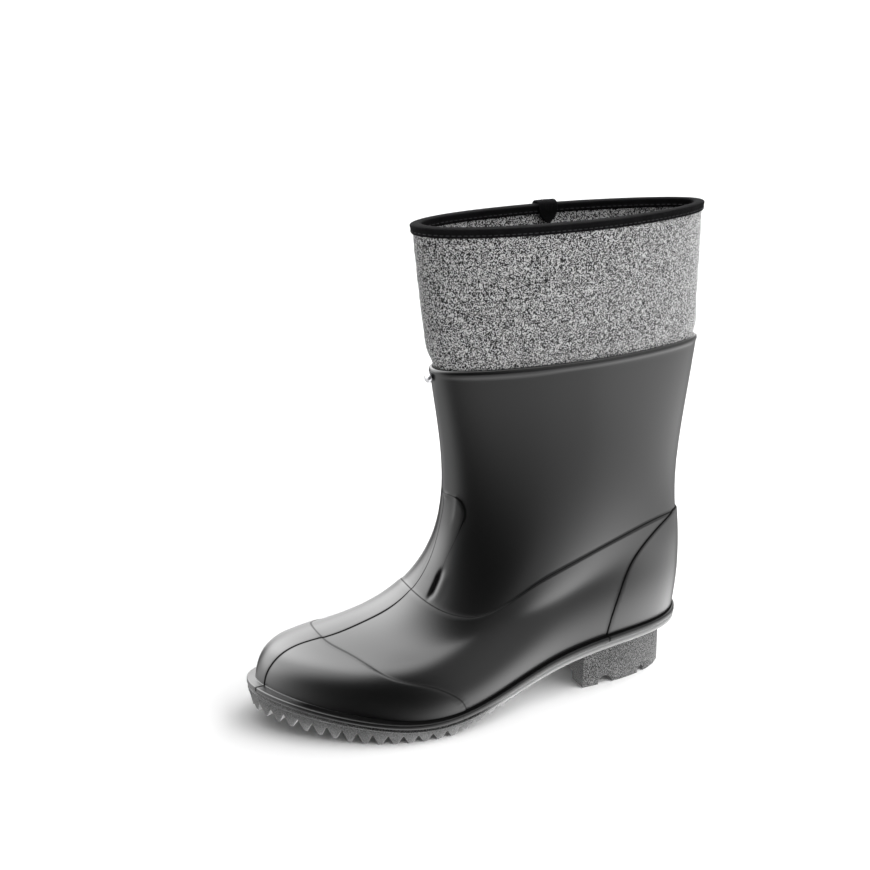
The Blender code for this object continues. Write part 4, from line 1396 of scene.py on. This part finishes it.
@dataclass
class FeltSock:
    """Felt liner and footbed."""

    last: Last
    finish: Felt
    columns: int = 360
    cuff_rows: int = 70
    hidden_rows: int = 44
    inner_rows: int = 70
    hidden_end: float = RUBBER_TOP - 0.4
    cuff_start: float = RUBBER_TOP - 0.2
    rubber_wall: float = 0.0023
    gap: float = 0.0003
    wall: float = 0.0040
    shoulder: float = 0.0007
    swell: Fade = Fade(0.05, 0.6)
    lump: float = 0.00008
    insole: float = 0.0040
    insole_edge: float = 0.0009
    insole_play: float = 0.0004
    insole_rings: int = 7

    def lumps(self, points: Array) -> Array:
        """Low unevenness of the felt, made of a few waves of so many radians a metre along each axis.

        Args:
            points: Points of the last.

        Returns:
            Rise of each point.
        """
        x, y, z = points[..., 0], points[..., 1], points[..., 2]
        waves = (np.sin(410 * x + 190 * z + 2 * np.sin(230 * z)) + np.sin(350 * z - 260 * x + 1.7 + 150 * y)
                 + np.sin(620 * x + 540 * z + 0.6) * np.sin(480 * z - 130 * x))
        return self.lump * waves

    def rows(self, start: float, end: float, count: int, depth: float) -> Array:
        """Rings of the liner, which swells out above the rubber's top edge.

        Args:
            start: Level of the first ring.
            end: Level of the last ring.
            count: Number of rings.
            depth: Depth below the form's outer face under the rubber.

        Returns:
            Points of the last, rings by columns by 3.
        """
        s = ring_places(self.columns)
        outwards = self.shoulder - self.rubber_wall - self.gap
        made = []
        for level in np.linspace(start, end, count):
            swell = outwards * float(self.swell.at(level - RUBBER_TOP))
            made.append(self.last.form(np.full(self.columns, level), s, depth + swell))
        return np.stack(made)

    def liner(self) -> bpy.types.Object:
        """Build the liner, from its lower edge up its outside and down its inside.

        Returns:
            The finished piece.
        """
        last = self.last
        outer_depth = self.rubber_wall + self.gap
        hidden = self.rows(last.wall_start, self.hidden_end, self.hidden_rows, outer_depth)
        cuff = self.rows(self.cuff_start, COLLAR, self.cuff_rows, outer_depth)
        inside = self.rows(COLLAR, last.wall_start, self.inner_rows, outer_depth + self.wall)
        hidden[0] = last.set_down(hidden[0], self.gap)
        inside[-1] = last.set_down(inside[-1], self.gap)
        cuff = cuff + outward_normals(cuff) * self.lumps(cuff)[..., None]
        inside = inside - outward_normals(inside[::-1])[::-1] * self.lumps(inside)[..., None]
        piece = ring_grid("felt_sock", last.place(np.concatenate([hidden, cuff, inside])), wrap=True)
        piece.data.materials.append(self.finish.build())
        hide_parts("felt_liner")
        return piece

    def footbed(self, felt: bpy.types.Material) -> bpy.types.Object:
        """Build the insole as a thin pad with rounded edges.

        Args:
            felt: Material of the liner.

        Returns:
            The finished piece.
        """
        last = self.last
        s = ring_places(self.columns)
        depth = self.rubber_wall + self.wall + 2 * self.gap + self.insole_play
        edge = last.form(np.full(self.columns, last.wall_start), s, depth)
        turns = np.linspace(-0.5 * pi, 0.5 * pi, self.insole_rings)
        sides = [SectionPoint(self.insole_edge * (1 - cos(turn)), self.insole * (0.5 + 0.5 * sin(turn)))
                 for turn in turns]
        rings = pinched_plate(edge, sides, lambda x, lift: last.sole_top(x) + self.gap + lift)
        piece = ring_grid("felt_footbed", last.place(rings))
        piece.data.materials.append(felt)
        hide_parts("insole")
        return piece


def pinched_plate(edge: Array, sides: Sequence[SectionPoint],
                  height: Callable[[Array, float], Array]) -> Array:
    """Rings of a plate that close on its middle line below and above.

    Args:
        edge: Ring of points around the plate's edge, whose outer and inner sides share the same x.
        sides: Inset and lift of each ring up the plate's side.
        height: Height of the plate at x and a lift.

    Returns:
        Rings from the middle of the underside to the middle of the upper face.
    """
    x, y = edge[:, 0], edge[:, 1]
    mirror = np.roll(y[::-1], 1)
    middle, half = (y + mirror) / 2, (y - mirror) / 2
    span = np.maximum(np.abs(half), 1e-6)
    centre = 0.5 * (x.min() + x.max())
    reach = 0.5 * (x.max() - x.min())
    rings = []
    shares = (0.0, 0.35, 0.7, 0.9)
    rows = [(share, *sides[0]) for share in shares] + [(1.0, *side) for side in sides]
    rows += [(share, *sides[-1]) for share in shares[::-1]]
    for share, inset, lift in rows:
        drawn_x = centre + (x - centre) * (1 - inset / reach)
        drawn_y = middle + half * share * np.maximum(1 - inset / span, 0.0)
        rings.append(np.stack([drawn_x, drawn_y, height(drawn_x, lift)], -1))
    return np.stack(rings)


@dataclass
class Collar:
    """Tape folded over the felt's top edge, its stitches and the wrapped join of its ends."""

    last: Last
    finish: Tape
    columns: int = 420
    felt_shoulder: float = 0.0007
    felt_wall: float = 0.0040
    gap: float = 0.0003
    tape: float = 0.0010
    height: float = 0.0055
    bead: float = 0.0004
    shoulder: float = 0.0016
    shoulder_drop: float = 0.0008
    hem: float = 0.0005
    hem_roll: float = 0.0002
    hem_share: float = 0.6
    crown: float = 0.0013
    crown_power: float = 0.7
    crown_drop: float = 0.0006
    crown_points: int = 15
    pucker: float = 0.00012
    puckers: int = 118
    face_start: int = 2
    face_end: int = 7
    stitch_length: float = 0.0022
    stitch_pitch: float = 0.0036
    stitch_radius: float = 0.00028
    stitch_rise: float = 0.0016
    stitch_groove: float = 0.85
    stitch_sink: tuple[float, ...] = (1.2, 0.0, -0.3, 0.0, 1.2)
    track_points: int = 4000
    join_place: float = 0.7525
    join_wraps: int = 12
    join_pitch: float = 0.00112
    join_swell: float = 0.0003
    join_crown: float = 0.0020
    join_points: int = 9
    join_gather: Fade = Fade(0.0033, 0.0080, 0.42)
    thread: float = 0.00066
    tail: float = 0.0080
    tail_shorter: float = 0.11
    tail_shares: tuple[float, ...] = (0.35, 0.7, 1.0)

    def point(self, s: Array, depth: float, drop: float) -> Array:
        """Points beside the felt's top edge.

        Args:
            s: Ring places.
            depth: Depth below the form's outer face.
            drop: How far below the collar, or above it where negative.

        Returns:
            Points of the last.
        """
        level_height = SIDE_RINGS[COLLAR].front_z - SIDE_RINGS[COLLAR - 1].front_z
        s = np.asarray(s, float)
        points = self.last.form(np.full(s.shape, COLLAR - max(drop, 0.0) / level_height), s, depth)
        points[..., 2] += max(-drop, 0.0)
        return points

    def faces(self, over: float = 0.0) -> tuple[float, float]:
        """Depths of an outer and an inner face that lie so much over the felt and its gap."""
        return self.felt_shoulder - self.gap - over, self.felt_shoulder + self.felt_wall + self.gap + over

    def section(self) -> list[tuple[float, float]]:
        """Depth and drop of the points round the tape's section.

        Returns:
            Pairs of a depth and a drop.
        """
        outer, inner = self.faces()
        face = outer - self.tape
        middle, half = (outer + inner) / 2, (inner - outer) / 2 + self.tape + self.bead
        outside = [
            (outer, self.height),
            (outer - self.hem_share * self.tape, self.height + self.hem_roll),
            (face, self.height - self.hem),
            (face, self.height - 2 * self.hem),
            (outer - self.stitch_groove * self.tape, self.height - self.stitch_rise),
            (face, self.shoulder + self.shoulder_drop),
            (face - 0.5 * self.bead, self.shoulder),
        ]
        over = [(middle - half * cos(a), self.crown_drop - self.crown * sin(a) ** self.crown_power)
                for a in np.linspace(0.0, pi, self.crown_points)]
        inside = [(inner + outer - depth, drop) for depth, drop in outside[::-1]]
        return outside + over + inside

    def build_tape(self, cloth: bpy.types.Material) -> bpy.types.Object:
        """Build the folded tape.

        Args:
            cloth: Material of the tape.

        Returns:
            The finished piece.
        """
        s = ring_places(self.columns)
        rings = np.stack([self.point(s, depth, drop) for depth, drop in self.section()])
        pucker = self.pucker * np.sin(2 * pi * s * self.puckers)
        face = slice(self.face_start, self.face_end)
        rings[face] += outward_normals(rings[face]) * pucker[:, None]
        piece = ring_grid("collar_tape", self.last.place(rings), wrap=True)
        piece.data.materials.append(cloth)
        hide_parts("collar_binding")
        return piece

    def build_stitches(self, side: Side, cloth: bpy.types.Material) -> bpy.types.Object:
        """Build one row of stitches.

        Args:
            side: Face of the collar that the row is on.
            cloth: Material of the thread.

        Returns:
            The finished piece.
        """
        outer, inner = self.faces(self.tape)
        sign, face = (-1.0, outer) if side is Side.OUTSIDE else (1.0, inner)
        drop = self.height - self.stitch_rise
        sink = np.array(self.stitch_sink) * self.stitch_radius
        s = np.linspace(0, 1, self.track_points)
        track = self.point(s, face, drop)
        run = np.concatenate([[0], np.cumsum(np.linalg.norm(np.diff(track, axis=0), axis=1))])
        paths = []
        for start in np.arange(0.0, run[-1] - self.stitch_pitch, self.stitch_pitch):
            at = np.interp(start + self.stitch_length * np.linspace(0, 1, len(sink)), run, s)
            path = [self.point(np.array([place]), face - sign * low, drop)[0]
                    for place, low in zip(at, sink)]
            paths.append(self.last.place(np.array(path)))
        piece = thread_piece(f"stitches_{side.value}", paths, self.stitch_radius, 1)
        piece.data.materials.append(cloth)
        return piece

    def build_join(self, cloth: bpy.types.Material) -> bpy.types.Object:
        """Build the wrapped join: turns of thread over the tape and a tail inside.

        Args:
            cloth: Material of the tape.

        Returns:
            The finished piece.
        """
        outer, inner = self.faces(self.tape + self.bead + self.thread)
        middle, half = (outer + inner) / 2, (inner - outer) / 2
        length = pi * (SIDE_RINGS[COLLAR].front_x - SIDE_RINGS[COLLAR].back_x)
        turns = np.linspace(0, pi, self.join_points)
        paths = []
        for wrap in range(self.join_wraps):
            lean = wrap - (self.join_wraps - 1) / 2
            aside = lean * self.join_pitch / length
            swell = self.join_swell * (1 - abs(lean) / self.join_wraps)
            tail = self.tail * (1.0 - self.tail_shorter * abs(lean))
            route = [(outer, self.height), (outer - swell, self.height / 2)]
            route += [(middle - (half + swell) * cos(turn), -(self.join_crown + swell) * sin(turn))
                      for turn in turns]
            route += [(inner + swell, self.height / 2), (inner + swell, self.height)]
            route += [(inner + swell * (1 - t), self.height + tail * t) for t in self.tail_shares]
            points = []
            for depth, drop in route:
                gathered = float(self.join_gather.at(drop)) if depth > middle else 0.0
                place = self.join_place + aside * (1.0 - gathered)
                points.append(self.point(np.array([place]), depth, drop)[0])
            paths.append(self.last.place(np.array(points)))
        piece = thread_piece("join_wraps", paths, self.thread)
        piece.data.materials.append(cloth)
        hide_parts("binding_join")
        return piece


@dataclass
class Sole:
    """Outsole plate, forefoot teeth and blocks, and the heel."""

    last: Last
    finish: StippledRubber
    columns: int = 420
    pale: Fade = Fade(0.1750, -0.030)
    pale_top: float = 0.8
    lug_height: float = 0.0110
    lug_rest: float = 0.1880
    lug_rise: float = 0.24
    lug_root: float = 0.0012
    lug_slope: float = 0.0022
    tooth_pitch: float = 0.0097
    tooth_start_x: float = 0.135
    tooth_inset: float = 0.0012
    tooth_depth: float = 0.0120
    tooth_base: float = 0.0150
    tooth_inner: float = 0.0036
    tooth_tip: float = 0.0024
    block_pitch: float = 0.0215
    block_first_x: float = 0.1620
    block_rows: int = 6
    block_length: float = 0.0140
    block_tip: float = 0.0100
    block_width: float = 0.0240
    block_gap: float = 0.0060
    block_inset: float = 0.0185
    tread_round: float = 0.0005
    heel_round: float = 0.0009
    flat_angle: float = radians(1.0)

    def build_plate(self, rubber: bpy.types.Material) -> bpy.types.Object:
        """Build the plate with its stepped edge.

        Args:
            rubber: Material of the plate.

        Returns:
            The finished piece.
        """
        x, y = self.last.rim_points(ring_places(self.columns), 0.0)
        edge = np.stack([x, y, np.zeros_like(x)], -1)

        def height(at: Array, share: float) -> Array:
            """Height between the plate's underside and its upper face."""
            low = self.last.sole_under(at)
            return low + share * (self.last.sole_top(at) - low)

        rings = pinched_plate(edge, PLATE_EDGE, height)
        pale = self.pale.at(rings[..., 0]) * np.linspace(1.0, self.pale_top, len(rings))[:, None]
        piece = ring_grid("outsole_plate", self.last.place(rings), {"edge": pale})
        piece.data.materials.append(rubber)
        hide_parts("outsole")
        return piece

    def tip_height(self, x: float) -> float:
        """Height of a lug's tip at x."""
        under = float(self.last.sole_under(np.array(x)))
        return max(0.0, under - self.lug_height, self.lug_rise * (self.lug_rest - x))

    def lug(self, centre: Array, run: Array, base: tuple[float, float], tip: tuple[float, float],
            depth: float, tip_z: float) -> Array:
        """Corners of a lug.

        Args:
            centre: Middle of its outer face, seen from above.
            run: Direction along the sole's edge.
            base: Length of its outer and inner side at the plate.
            tip: The same at its tip.
            depth: Reach inwards.
            tip_z: Height of its tip.

        Returns:
            Eight corners.
        """
        run = run / np.linalg.norm(run)
        inward = np.array([-run[1], run[0]])
        corners = []
        for slope, lengths in ((0.0, base), (self.lug_slope, tip)):
            for across, size in ((slope, lengths[0]), (depth - slope, lengths[1])):
                for end in (-0.5, 0.5):
                    x, y = centre + inward * across + run * size * end
                    root = float(self.last.sole_under(np.array(x))) + self.lug_root
                    corners.append((x, y, tip_z if slope else root))
        return np.array(corners)

    def teeth(self) -> list[Array]:
        """Corners of the teeth along the forefoot's rim.

        Returns:
            Eight corners for each tooth.
        """
        curve = self.last.rim_curve(self.tooth_inset)
        forefoot = curve[curve[:, 0] > self.tooth_start_x]
        run = np.concatenate([[0], np.cumsum(np.linalg.norm(np.diff(forefoot, axis=0), axis=1))])
        base, tip = (self.tooth_base, self.tooth_inner), (self.tooth_tip, self.tooth_tip)
        beside = self.tooth_pitch / 4
        made = []
        for at in np.arange(self.tooth_pitch / 2, run[-1], self.tooth_pitch):
            spots = (at - beside, at, at + beside)
            traced = [np.interp(spots, run, forefoot[:, axis]) for axis in (0, 1)]
            behind, place, ahead = np.stack(traced, 1)
            tip_z = self.tip_height(place[0])
            made.append(self.lug(place, behind - ahead, base, tip, self.tooth_depth, tip_z))
        return made

    def blocks(self) -> list[Array]:
        """Corners of the blocks inside the teeth.

        Returns:
            Eight corners for each block.
        """
        inner = self.last.rim_curve(self.block_inset)
        forward = np.array([1.0, 0.0])
        base, tip = (self.block_length, self.block_length), (self.block_tip, self.block_tip)
        made = []
        for row in range(self.block_rows):
            x = self.block_first_x + row * self.block_pitch
            near = inner[np.abs(inner[:, 0] - x) < 0.5 * self.block_length]
            high, low = near[near[:, 1] > 0.0][:, 1].min(), near[near[:, 1] < 0.0][:, 1].max()
            count = max(1, round((high - low) / self.block_width))
            width = (high - low - (count - 1) * self.block_gap) / count
            for k in range(count):
                edge = low + k * (width + self.block_gap)
                made.append(self.lug(np.array([x, edge]), forward, base, tip, width, self.tip_height(x)))
        return made

    def build_tread(self, rubber: bpy.types.Material) -> bpy.types.Object:
        """Build the teeth and blocks as one piece with softened edges.

        Args:
            rubber: Material of the tread.

        Returns:
            The finished piece.
        """
        lugs = self.teeth() + self.blocks()
        sides = ((0, 1, 3, 2), (4, 5, 7, 6), (0, 1, 5, 4), (2, 3, 7, 6), (0, 2, 6, 4), (1, 3, 7, 5))
        faces = [tuple(8 * k + corner for corner in side) for k in range(len(lugs)) for side in sides]
        piece = mesh_piece("forefoot_tread", self.last.place(np.concatenate(lugs)), faces)
        close_seams(piece, 1e-7)
        soften(piece, self.tread_round, 2)
        piece.data.materials.append(rubber)
        return piece

    def build_heel(self, solid: bpy.types.Object, rubber: bpy.types.Material) -> bpy.types.Object:
        """Build the heel from a copy of its solid with softened edges.

        Args:
            solid: The frame's heel block.
            rubber: Material of the sole.

        Returns:
            The finished piece.
        """
        piece = bpy.data.objects.new("heel", solid.data.copy())
        piece.data.name = "heel"
        piece.data.materials.clear()
        bpy.context.scene.collection.objects.link(piece)
        close_seams(piece)
        bpy.ops.object.mode_set(mode="EDIT")
        bpy.ops.mesh.select_all(action="SELECT")
        bpy.ops.mesh.dissolve_limited(angle_limit=self.flat_angle)
        bpy.ops.object.mode_set(mode="OBJECT")
        soften(piece, self.heel_round, 3)
        piece.data.materials.append(rubber)
        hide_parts("heel_block")
        return piece


def soften(piece: bpy.types.Object, width: float, segments: int) -> None:
    """Round a piece's edges and shade it smooth between them.

    Args:
        piece: The piece.
        width: Width of the rounding.
        segments: Number of faces across it.
    """
    only(piece)
    bevel = piece.modifiers.new("Edges", "BEVEL")
    bevel.width = width
    bevel.segments = segments
    bevel.limit_method = "ANGLE"
    bevel.angle_limit = BEVEL_ANGLE
    bpy.ops.object.modifier_apply(modifier="Edges")
    bpy.ops.object.shade_smooth_by_angle(angle=SMOOTH_ANGLE)


@dataclass
class Stud:
    """Round-headed stud at the front of the rubber's top edge."""

    last: Last
    finish: BrightSteel
    height: float = 0.2205
    radius: float = 0.0034
    neck: float = 0.0021
    stand: float = 0.0009
    head: float = 0.0031
    gap: float = 0.0003
    edge_round: float = 0.00012
    facets: int = 40
    upward: float = 0.9
    brim: float = 0.22
    dome: tuple[tuple[float, float], ...] = (
        (0.0032, 0.45), (0.0027, 0.70), (0.0019, 0.88), (0.0010, 0.97), (0.0003, 1.0),
    )

    def build(self) -> bpy.types.Object:
        """Build the stud from a cylinder whose outer face is drawn up to a dome.

        Returns:
            The finished piece.
        """
        low, high = SIDE_RINGS[RUBBER_TOP - 1].front_z, SIDE_RINGS[RUBBER_TOP].front_z
        level = RUBBER_TOP - 1 + (self.height - low) / (high - low)
        seat = self.last.place(self.last.form(np.array([level]), np.array([0.5])))[0]
        bpy.ops.object.select_all(action="DESELECT")
        bpy.ops.mesh.primitive_cylinder_add(vertices=self.facets, radius=self.neck, depth=self.stand,
                                            end_fill_type="NGON", location=(0, 0, self.stand / 2))
        piece = bpy.context.active_object
        piece.name = piece.data.name = "stud"
        bpy.ops.object.transform_apply(location=True)
        bpy.ops.object.mode_set(mode="EDIT")
        bpy.ops.mesh.select_mode(type="FACE")
        bpy.ops.mesh.select_all(action="DESELECT")
        bpy.ops.object.mode_set(mode="OBJECT")
        for face in piece.data.polygons:
            face.select = face.normal.z > self.upward
        bpy.ops.object.mode_set(mode="EDIT")
        size, lift = self.neck, 0.0
        for radius, share in ((self.radius, 0.0), (self.radius, self.brim), *self.dome):
            bpy.ops.mesh.extrude_region_move(
                TRANSFORM_OT_translate={"value": (0, 0, (share - lift) * self.head)})
            bpy.ops.transform.resize(value=(radius / size, radius / size, 1))
            size, lift = radius, share
        bpy.ops.object.mode_set(mode="OBJECT")
        piece.rotation_euler = (0, pi / 2, 0)
        piece.location = Vector(seat) + Vector((self.gap, 0, 0))
        bpy.ops.object.transform_apply(location=True, rotation=True)
        soften(piece, self.edge_round, 2)
        piece.data.materials.append(self.finish.build())
        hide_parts("front_rivet")
        return piece


@dataclass(frozen=True)
class Softbox:
    """One soft light of the studio."""

    name: str
    place: tuple[float, float, float]
    size: tuple[float, float]
    power: float


class Card(NamedTuple):
    """A soft round card far away, in degrees: where it is, and how wide its full and faded parts are.

    The turn is measured from +Y towards +X. The sheen is what gloss shows of it, and the wash is what it
    lends matt surfaces.
    """

    place: str
    turn: float
    rise: float
    full: float
    faded: float
    sheen: float
    wash: float


@dataclass
class Studio:
    """Camera, lights and floor."""

    target: tuple[float, float, float] = (0.03097, -0.00462, 0.18147)
    distance: float = 1.020
    turn: float = 23.0
    elevation: float = 19.48
    lens: float = 67.41
    sensor: float = 36.0
    floor_size: float = 400.0
    floor: StudioFloor = StudioFloor("studio_floor", (0.94, 0.94, 0.94), 0.9, 0.1)
    glow: float = 0.24
    dim: float = 0.03
    box: Softbox = Softbox("overhead", (-0.15, 0.25, 1.90), (1.6, 1.6), 4.0)
    box_target: tuple[float, float, float] = (0.0, 0.0, 0.1)
    cards: tuple[Card, ...] = (
        Card("before the toe", 108.0, 42.0, 14.0, 62.0, 7.4, 0.12),
        Card("low before the toe", 110.0, -24.0, 15.0, 60.0, 1.8, 0.0),
        Card("above and behind", 180.0, 66.0, 20.0, 62.0, 5.0, 0.35),
        Card("beside the heel", -75.0, 12.0, 30.0, 76.0, 0.95, 3.60),
        Card("behind the foot", -165.0, 20.0, 15.0, 45.0, 1.8, 0.20),
        Card("floor beside the heel", -58.0, -70.0, 36.0, 60.0, 4.6, 0.0),
    )

    def aim(self, thing: bpy.types.Object, at: Vector) -> None:
        """Point a camera or light at a place."""
        thing.rotation_euler = (at - thing.location).to_track_quat("-Z", "Y").to_euler()

    def build_camera(self) -> None:
        """Set up the camera at the photograph's viewing angle."""
        turn, rise = radians(self.turn), radians(self.elevation)
        direction = Vector((sin(turn) * cos(rise), cos(turn) * cos(rise), sin(rise)))
        data = bpy.data.cameras.new("camera")
        data.lens = self.lens
        data.sensor_width = self.sensor
        camera = bpy.data.objects.new("camera", data)
        camera.location = Vector(self.target) + self.distance * direction
        self.aim(camera, Vector(self.target))
        bpy.context.scene.collection.objects.link(camera)
        bpy.context.scene.camera = camera

    def build_lights(self) -> None:
        """Set up the overhead softbox and the surroundings with their cards."""
        data = bpy.data.lights.new(self.box.name, "AREA")
        data.shape = "RECTANGLE"
        data.size, data.size_y = self.box.size
        data.energy = self.box.power
        light = bpy.data.objects.new(self.box.name, data)
        light.location = self.box.place
        light.visible_glossy = False
        self.aim(light, Vector(self.box_target))
        bpy.context.scene.collection.objects.link(light)
        world = bpy.data.worlds.new("studio")
        bpy.context.scene.world = world
        world.use_nodes = True
        graph = Graph(world.node_tree)
        view = graph.node("ShaderNodeTexCoord").outputs["Generated"]
        sheen: Value = self.dim
        wash: Value = self.glow
        for card in self.cards:
            shape = self.card_shape(graph, view, card)
            sheen = graph.math("ADD", sheen, graph.math("MULTIPLY", shape, card.sheen))
            wash = graph.math("ADD", wash, graph.math("MULTIPLY", shape, card.wash))
        glossy = graph.node("ShaderNodeLightPath").outputs["Is Glossy Ray"]
        background = world.node_tree.nodes["Background"]
        background.inputs["Color"].default_value = (1.0, 1.0, 1.0, 1.0)
        graph.feed(background.inputs["Strength"], graph.mix(glossy, wash, sheen, "FLOAT"))

    def card_shape(self, graph: Graph, view: Socket, card: Card) -> Socket:
        """Work out how much of a card is seen in a direction.

        Args:
            graph: Graph of the surroundings.
            view: Direction looked in.
            card: The card.

        Returns:
            A share from 0 to 1.
        """
        turn, rise = radians(card.turn), radians(card.rise)
        dot = graph.node("ShaderNodeVectorMath", operation="DOT_PRODUCT")
        graph.feed(dot.inputs[0], view)
        dot.inputs[1].default_value = (sin(turn) * cos(rise), cos(turn) * cos(rise), sin(rise))
        return graph.span(dot.outputs["Value"], cos(radians(card.faded)), cos(radians(card.full)))

    def build_floor(self) -> None:
        """Lay the floor."""
        bpy.ops.object.select_all(action="DESELECT")
        bpy.ops.mesh.primitive_plane_add(size=self.floor_size)
        floor = bpy.context.active_object
        floor.name = "studio_floor"
        floor.data.materials.append(self.floor.build())
        floor.visible_glossy = False

    def build(self) -> None:
        """Set up the whole studio."""
        self.build_camera()
        self.build_lights()
        self.build_floor()
        bpy.context.scene.view_settings.view_transform = "Standard"


def main() -> None:
    """Load the frame, build and dress every piece, and log how many faces each has."""
    logging.basicConfig(level=logging.INFO, format="%(name)s: %(message)s")
    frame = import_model()
    SharedEffects().build()
    Studio().build()
    last = Last()
    shell = RubberShell(last, GlossRubber("black_rubber", (0.0015, 0.0015, 0.0016), 0.30, 0.03)).build()
    sock = FeltSock(last, Felt("grey_felt", (0.006, 0.006, 0.006), 0.95, 0.1))
    liner = sock.liner()
    footbed = sock.footbed(liner.data.materials[0])
    collar = Collar(last, Tape("black_tape", (0.0020, 0.0020, 0.0022), 0.9, 0.05))
    cloth = collar.finish.build()
    thread = Tape("black_thread", (0.014, 0.014, 0.015), 0.8, 0.2).build()
    sole = Sole(last, StippledRubber("sole_rubber", (0.012, 0.012, 0.012), 0.72, 0.4))
    rubber = sole.finish.build()
    tread = StippledRubber("tread_rubber", (0.006, 0.006, 0.006), 0.45, 0.35, (0.075, 0.075, 0.075)).build()
    pieces = [
        shell, liner, footbed, collar.build_tape(cloth), collar.build_stitches(Side.OUTSIDE, thread),
        collar.build_stitches(Side.INSIDE, thread), collar.build_join(cloth), sole.build_plate(tread),
        sole.build_tread(tread), sole.build_heel(frame["nodes"]["heel_block"], rubber),
        Stud(last, BrightSteel("bright_steel", (0.34, 0.34, 0.35), 0.32)).build(),
    ]
    for piece in pieces:
        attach(piece, "root")
        LOG.info("%s: %d faces", piece.name, len(piece.data.polygons))


if __name__ == "__main__":
    main()
